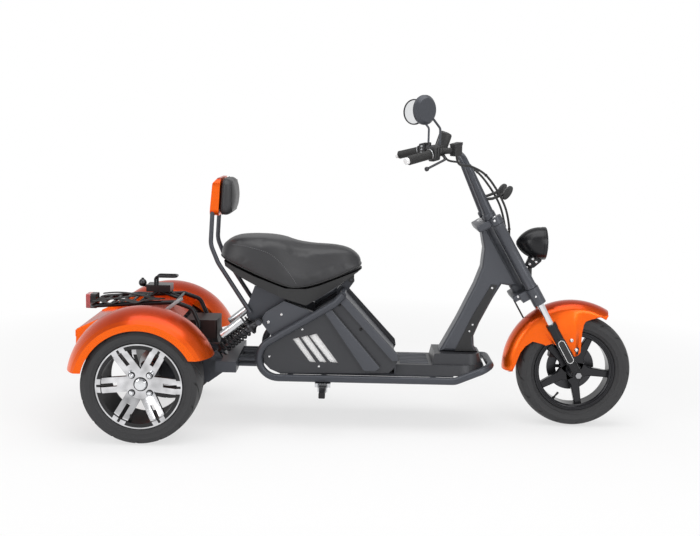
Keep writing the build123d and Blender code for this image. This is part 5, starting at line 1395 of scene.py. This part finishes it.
# %% Front fender
fender_centre = (1.733, 0.246)
fender_crown = 0.285
cheek_out, tab_out = 0.0660, 0.0822
tab_from, tab_to = 88, 128
fender_section = [
    # how far inside the crown's circle, distance aside
    (0.0340, 0.0655), (0.0250, 0.0620), (0.0115, 0.0470), (0.0065, 0.0370), (0.0016, 0.0200),
    (0.0000, 0.0000),
]
fender_edge = [
    # angle on the crown in degrees, forward and up of the lower edge
    (182.0, 1.464, 0.236), (179.0, 1.482, 0.240), (176.0, 1.492, 0.262), (170.0, 1.500, 0.288),
    (162.0, 1.511, 0.318), (153.0, 1.530, 0.345), (145.0, 1.560, 0.366), (140.0, 1.600, 0.356),
    (136.0, 1.614, 0.3500), (129.0, 1.641, 0.3590), (110.0, 1.694, 0.353), (100.0, 1.721, 0.316),
    (90.0, 1.734, 0.3090), (86.0, 1.750, 0.3120), (83.0, 1.760, 0.3250), (80.5, 1.756, 0.360),
    (78.5, 1.752, 0.390), (76.0, 1.754, 0.420), (74.0, 1.763, 0.442), (71.0, 1.779, 0.457),
    (68.5, 1.800, 0.465), (64.0, 1.844, 0.477), (60.0, 1.8680, 0.4830),
]


def finer_rows(table, largest):
    """A table of rows whose first column falls by no more than the largest step."""
    rows = []
    for first, second in zip(table, table[1:]):
        parts = max(1, int((first[0] - second[0]) / largest + 0.99))
        for part in range(parts):
            rows.append([low + (high - low) * part / parts for low, high in zip(first, second)])
    return rows + [list(table[-1])]


columns = []
for angle, forward, up in finer_rows(fender_edge, 4.0):
    turn = radians(angle)
    side_line = []
    for inset, aside in fender_section:
        reach = fender_crown - inset
        side_line.append((fender_centre[0] + cos(turn) * reach, fender_centre[1] + sin(turn) * reach, aside))
    top_forward, top_up, _ = side_line[0]
    swell = tab_out - cheek_out if tab_from < angle < tab_to else 0.0
    cheek_line = []
    for share in (0.0, 0.25, 0.5, 0.75, 0.95):
        aside = cheek_out + swell * (1 - share ** 3)
        cheek_line.append((forward + (top_forward - forward) * share, up + (top_up - up) * share, aside))
    side_line = cheek_line + side_line
    right = [at(forward, up, -aside) for forward, up, aside in side_line]
    left = [at(*spot) for spot in side_line[:-1]]
    columns.append(right + left[::-1])
rows = len(columns[0])
faces = []
for column in range(len(columns) - 1):
    for row in range(rows - 1):
        start = column * rows + row
        faces.append((start, start + rows, start + rows + 1, start + 1))
sheet = bpy.data.meshes.new("fender_blade")
sheet.from_pydata([tuple(point) for line in columns for point in line], [], faces)
blade = made("fender_blade", sheet, "candy_paint", "steering")
thick = blade.modifiers.new("thick", "SOLIDIFY")
thick.thickness = 0.003
thick.offset = 0.0
rim = blade.modifiers.new("rim", "BEVEL")
rim.width = 0.0009
rim.segments = 2
rim.angle_limit = radians(50)
settle(blade)
blade.data.set_sharp_from_angle(angle=radians(28))
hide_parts("front_fender")
fender_bolts = Batch()
for side in mirrored.values():
    for forward, up in ((1.716, 0.378), (1.737, 0.338)):
        screw(fender_bolts, at(forward, up, side * 0.0836), sideways * side, 0.0085, 14)
fender_bolts.piece("fender_bolts", "screw_steel", "steering", "steel")
print("fender faces", len(blade.data.polygons))

# %% [markdown]
# The front rim is cast: a rolled barrel with fine lines on its lip, five spokes that widen towards
# the hub, and the hub itself. The barrel is one section turned about the axle.

# %% Front rim
rim_section = [
    (0.1464, 0.0300), (0.1500, 0.0350), (0.1550, 0.0375), (0.1562, 0.0413), (0.1590, 0.0413),
    (0.1598, 0.0402), (0.1612, 0.0402), (0.1620, 0.0413), (0.1665, 0.0413), (0.1665, 0.0345),
    (0.1524, 0.0343),
]
closed_section = rim_section + [(reach, -aside) for reach, aside in rim_section[::-1]]
casting = Batch()
casting.loft([
    [front_middle + wheel_way(turn) * reach + sideways * aside for reach, aside in closed_section]
    for turn in (tau * step / 72 for step in range(72))
], ring=True)
spoke_shape = [
    (0.012, -0.034), (0.036, -0.034), (0.064, -0.0185), (0.148, -0.0140),
    (0.148, 0.0140), (0.064, 0.0185), (0.036, 0.034), (0.012, 0.034),
]
for index in range(5):
    turn = radians(-79 + 72 * index)
    outward, beside = wheel_way(turn), wheel_way(turn + pi / 2)
    loops = []
    for aside, trim in ((-0.0130, 0.0030), (-0.0100, 0.0), (0.0100, 0.0), (0.0130, 0.0030)):
        middle = front_middle + sideways * aside
        loops.append([
            middle + outward * reach + beside * (wide - trim if wide > 0 else wide + trim)
            for reach, wide in spoke_shape
        ])
    casting.loft(loops)
casting.turned(front_middle - sideways * 0.0358, sideways, [
    (0.0270, 0.0), (0.0300, 0.003), (0.0330, 0.018), (0.0330, 0.0536), (0.0300, 0.0686), (0.0270, 0.0716),
], 40)
casting_piece = casting.piece("front_casting", "gloss_black", "front_wheel", "black_paint", sharp=35)
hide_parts("front_rim")
print("casting faces", len(casting_piece.data.polygons))

# %% [markdown]
# Behind the seat, painted cheeks close the tail panel's sides, the rack's pad ends in a round catch,
# and dark discs round the lug nuts stand in for the recessed pockets they sit in, partly their black
# paint and partly painted shade. The head lamp hangs in a saddle with three bright screws on each
# side.

# %% Tail cheeks, catch, painted shade round the nuts and lamp saddle
cheek_shares = [
    (0.00, 0.00), (0.01, 0.43), (0.19, 0.67), (0.43, 0.95), (0.58, 0.92), (0.58, 0.84), (0.19, 0.37),
    (0.06, 0.00),
]
cheek_outline = share_points(cheek_shares, -0.293, 0.345, 0.403, 0.145)
cheeks = Batch()
for side in mirrored.values():
    cheeks.slab(cheek_outline, side * 0.1990, side * 0.2045)
cheeks.piece("tail_cheeks", "candy_paint", "chassis", bevel=0.0015, sharp=60)

catch = Batch()
ball_radius = 0.0165
ball_turns = [pi * step / 12 for step in range(13)]
catch.turned(at(-0.066, 0.5660), skyward, [
    (ball_radius * sin(turn) + 0.0001, -ball_radius * cos(turn)) for turn in ball_turns
], 24)
catch.turned(at(-0.066, 0.5800), skyward, [(0.0060, 0.0), (0.0060, 0.005), (0.0040, 0.0065)], 14)
catch.tube([at(-0.060, 0.556), at(-0.036, 0.549)], 0.0060, steps=12)
catch.piece("rack_catch", "dark_steel", "chassis", "steel", sharp=50)
for label, side in mirrored.items():
    centre = at(0, axle_up["rear"], side * hub_face)
    # Painted shade: black discs under each nut and the cap stand in for the recessed pockets they sit in,
    # dark partly from black paint and partly from shade.
    nut_shade_discs = Batch()
    for offset in nut_offsets:
        nut_shade_discs.turned(centre + offset, sideways * side, [
            (0.0140, -0.001), (0.0140, 0.0008), (0.0125, 0.0012),
        ], 20)
    nut_shade_discs.turned(centre, sideways * side, [(0.0280, -0.001), (0.0280, 0.0008), (0.0260, 0.0012)], 28)
    nut_shade_discs.piece("nut_shade_discs_" + label, "trim_black", "rear_wheel_" + label)

saddle_shares = [(0.00, 0.18), (0.35, 0.00), (0.55, 0.05), (1.00, 0.50), (1.00, 1.00), (0.30, 1.00)]
saddle = Batch()
saddle.slab(share_points(saddle_shares, 1.524, 0.664, 0.066, 0.060), -0.016, 0.016)
saddle.piece("lamp_saddle", "black_paint", "steering", bevel=0.004, sharp=60)
saddle_pins = Batch()
for side in mirrored.values():
    for forward, up in ((1.540, 0.682), (1.566, 0.692), (1.552, 0.704)):
        screw(saddle_pins, at(forward, up, side * 0.0158), sideways * side, 0.0070, 12)
saddle_pins.piece("saddle_pins", "screw_steel", "steering", "steel")
print("small parts done")

# %% [markdown]
# The portrait is taken from the right, a little above the seat, with a normal lens. The place and
# the angles come from fitting a camera to the picture, so the wheels fall where they should.

# %% Camera
camera_spot = Vector((-0.055, -4.0233, 1.2386))
camera_pitch = radians(8.37)
camera_yaw = radians(0.12)
camera_roll = radians(1.30)
focal_pixels = 977.1
picture_width = 700.0
sensor_width = 36.0


def aim(spot, pitch, yaw, roll):
    """The camera's place and turn: pitch looks down, roll leans it."""
    ahead = Vector((sin(yaw) * cos(pitch), cos(yaw) * cos(pitch), -sin(pitch)))
    across = Vector((cos(yaw), -sin(yaw), 0.0))
    above = across.cross(ahead)
    right = across * cos(roll) + above * sin(roll)
    top = above * cos(roll) - across * sin(roll)
    turn = Matrix((right, top, -ahead)).transposed().to_4x4()
    return Matrix.Translation(spot) @ turn


camera = bpy.data.objects.new("camera", bpy.data.cameras.new("camera"))
bpy.context.scene.collection.objects.link(camera)
camera.data.lens = focal_pixels / picture_width * sensor_width
camera.data.sensor_width = sensor_width
camera.matrix_world = aim(camera_spot, camera_pitch, camera_yaw, camera_roll)
bpy.context.scene.camera = camera
bpy.context.scene.view_settings.view_transform = "Standard"
print("lens", round(camera.data.lens, 2))

# %% [markdown]
# The studio is a white cove. The floor takes the shadow near the wheels and fades into pure white,
# and the walls are the world itself. What goes straight to the camera or through glass sees pure
# white. Reflections see walls that darken overhead, and the light on the trike is dimmer still.

# %% Studio
def ray(tree, path, kind):
    """Is one for the rays of a kind, and zero for the others."""
    return Signal(tree, path.outputs["Is " + kind + " Ray"])


def white_cove():
    """A world that is white to look at and softer as a light."""
    world = bpy.data.worlds.new("cove")
    bpy.context.scene.world = world
    world.use_nodes = True
    tree = world.node_tree
    backdrop = tree.nodes["Background"]
    path = tree.nodes.new("ShaderNodeLightPath")
    seen = ray(tree, path, "Camera") + ray(tree, path, "Transmission")
    direction = tree.nodes.new("ShaderNodeSeparateXYZ")
    tree.links.new(tree.nodes.new("ShaderNodeTexCoord").outputs["Generated"], direction.inputs[0])
    up = Signal(tree, direction.outputs[2])
    walls = 0.52 + ray(tree, path, "Glossy") * (0.38 - 0.60 * up.at_least(0.0))
    strength = walls.at_least(seen.at_most(1.0))
    backdrop.inputs["Color"].default_value = (1.0, 1.0, 1.0, 1.0)
    feed(tree, backdrop.inputs["Strength"], strength)


def cove_floor(reach, clear_from, clear_to, shadow_lift):
    """A white floor that fades to the backdrop's white away from the trike."""
    mesh = bpy.data.meshes.new("floor")
    corners = [(-reach, -reach, 0), (reach, -reach, 0), (reach, reach, 0), (-reach, reach, 0)]
    mesh.from_pydata(corners, [], [(0, 1, 2, 3)])
    floor = bpy.data.objects.new("floor", mesh)
    bpy.context.scene.collection.objects.link(floor)
    paint = Finish("floor_white", Roughness=0.9, Specular_IOR_Level=0.0)
    paint.shader.inputs["Base Color"].default_value = (0.86, 0.86, 0.86, 1.0)
    tree = paint.tree
    path = paint.node("ShaderNodeLightPath")
    distance = paint.node("ShaderNodeVectorMath", {"operation": "LENGTH"})
    tree.links.new(paint.place, distance.inputs[0])
    far = Signal(tree, distance.outputs["Value"])
    fade = ((far - clear_from) / (clear_to - clear_from)).at_least(0.0).at_most(1.0)
    bright = shadow_lift + fade * (1.0 - shadow_lift)
    seen = ray(tree, path, "Camera") + ray(tree, path, "Transmission")
    seen = seen + ray(tree, path, "Glossy")
    glow = paint.node("ShaderNodeEmission", Color=(1.0, 1.0, 1.0, 1.0), Strength=1.0)
    mixed = paint.node("ShaderNodeMixShader")
    feed(tree, mixed.inputs[0], bright * seen.at_most(1.0))
    tree.links.new(paint.shader.outputs[0], mixed.inputs[1])
    tree.links.new(glow.outputs[0], mixed.inputs[2])
    tree.links.new(mixed.outputs[0], tree.nodes["Material Output"].inputs["Surface"])
    floor.data.materials.append(paint.material)


def softbox(name, spot, target, width, height, power):
    """A soft rectangular lamp that looks at a point."""
    lamp = bpy.data.lights.new(name, "AREA")
    lamp.shape = "RECTANGLE"
    lamp.size = width
    lamp.size_y = height
    lamp.energy = power
    holder = bpy.data.objects.new(name, lamp)
    bpy.context.scene.collection.objects.link(holder)
    holder.location = spot
    holder.rotation_euler = (Vector(target) - Vector(spot)).to_track_quat("-Z", "Y").to_euler()


white_cove()
cove_floor(14.0, 1.6, 3.0, 0.66)
softbox("top_box", (0.0, -0.4, 3.4), (0.0, 0.0, 0.5), 4.0, 2.6, 75.0)
softbox("front_box", (2.4, -3.2, 2.0), (0.2, 0.0, 0.5), 1.6, 2.2, 34.0)
softbox("back_box", (-2.8, -2.6, 1.9), (-0.3, 0.0, 0.5), 1.4, 2.0, 26.0)
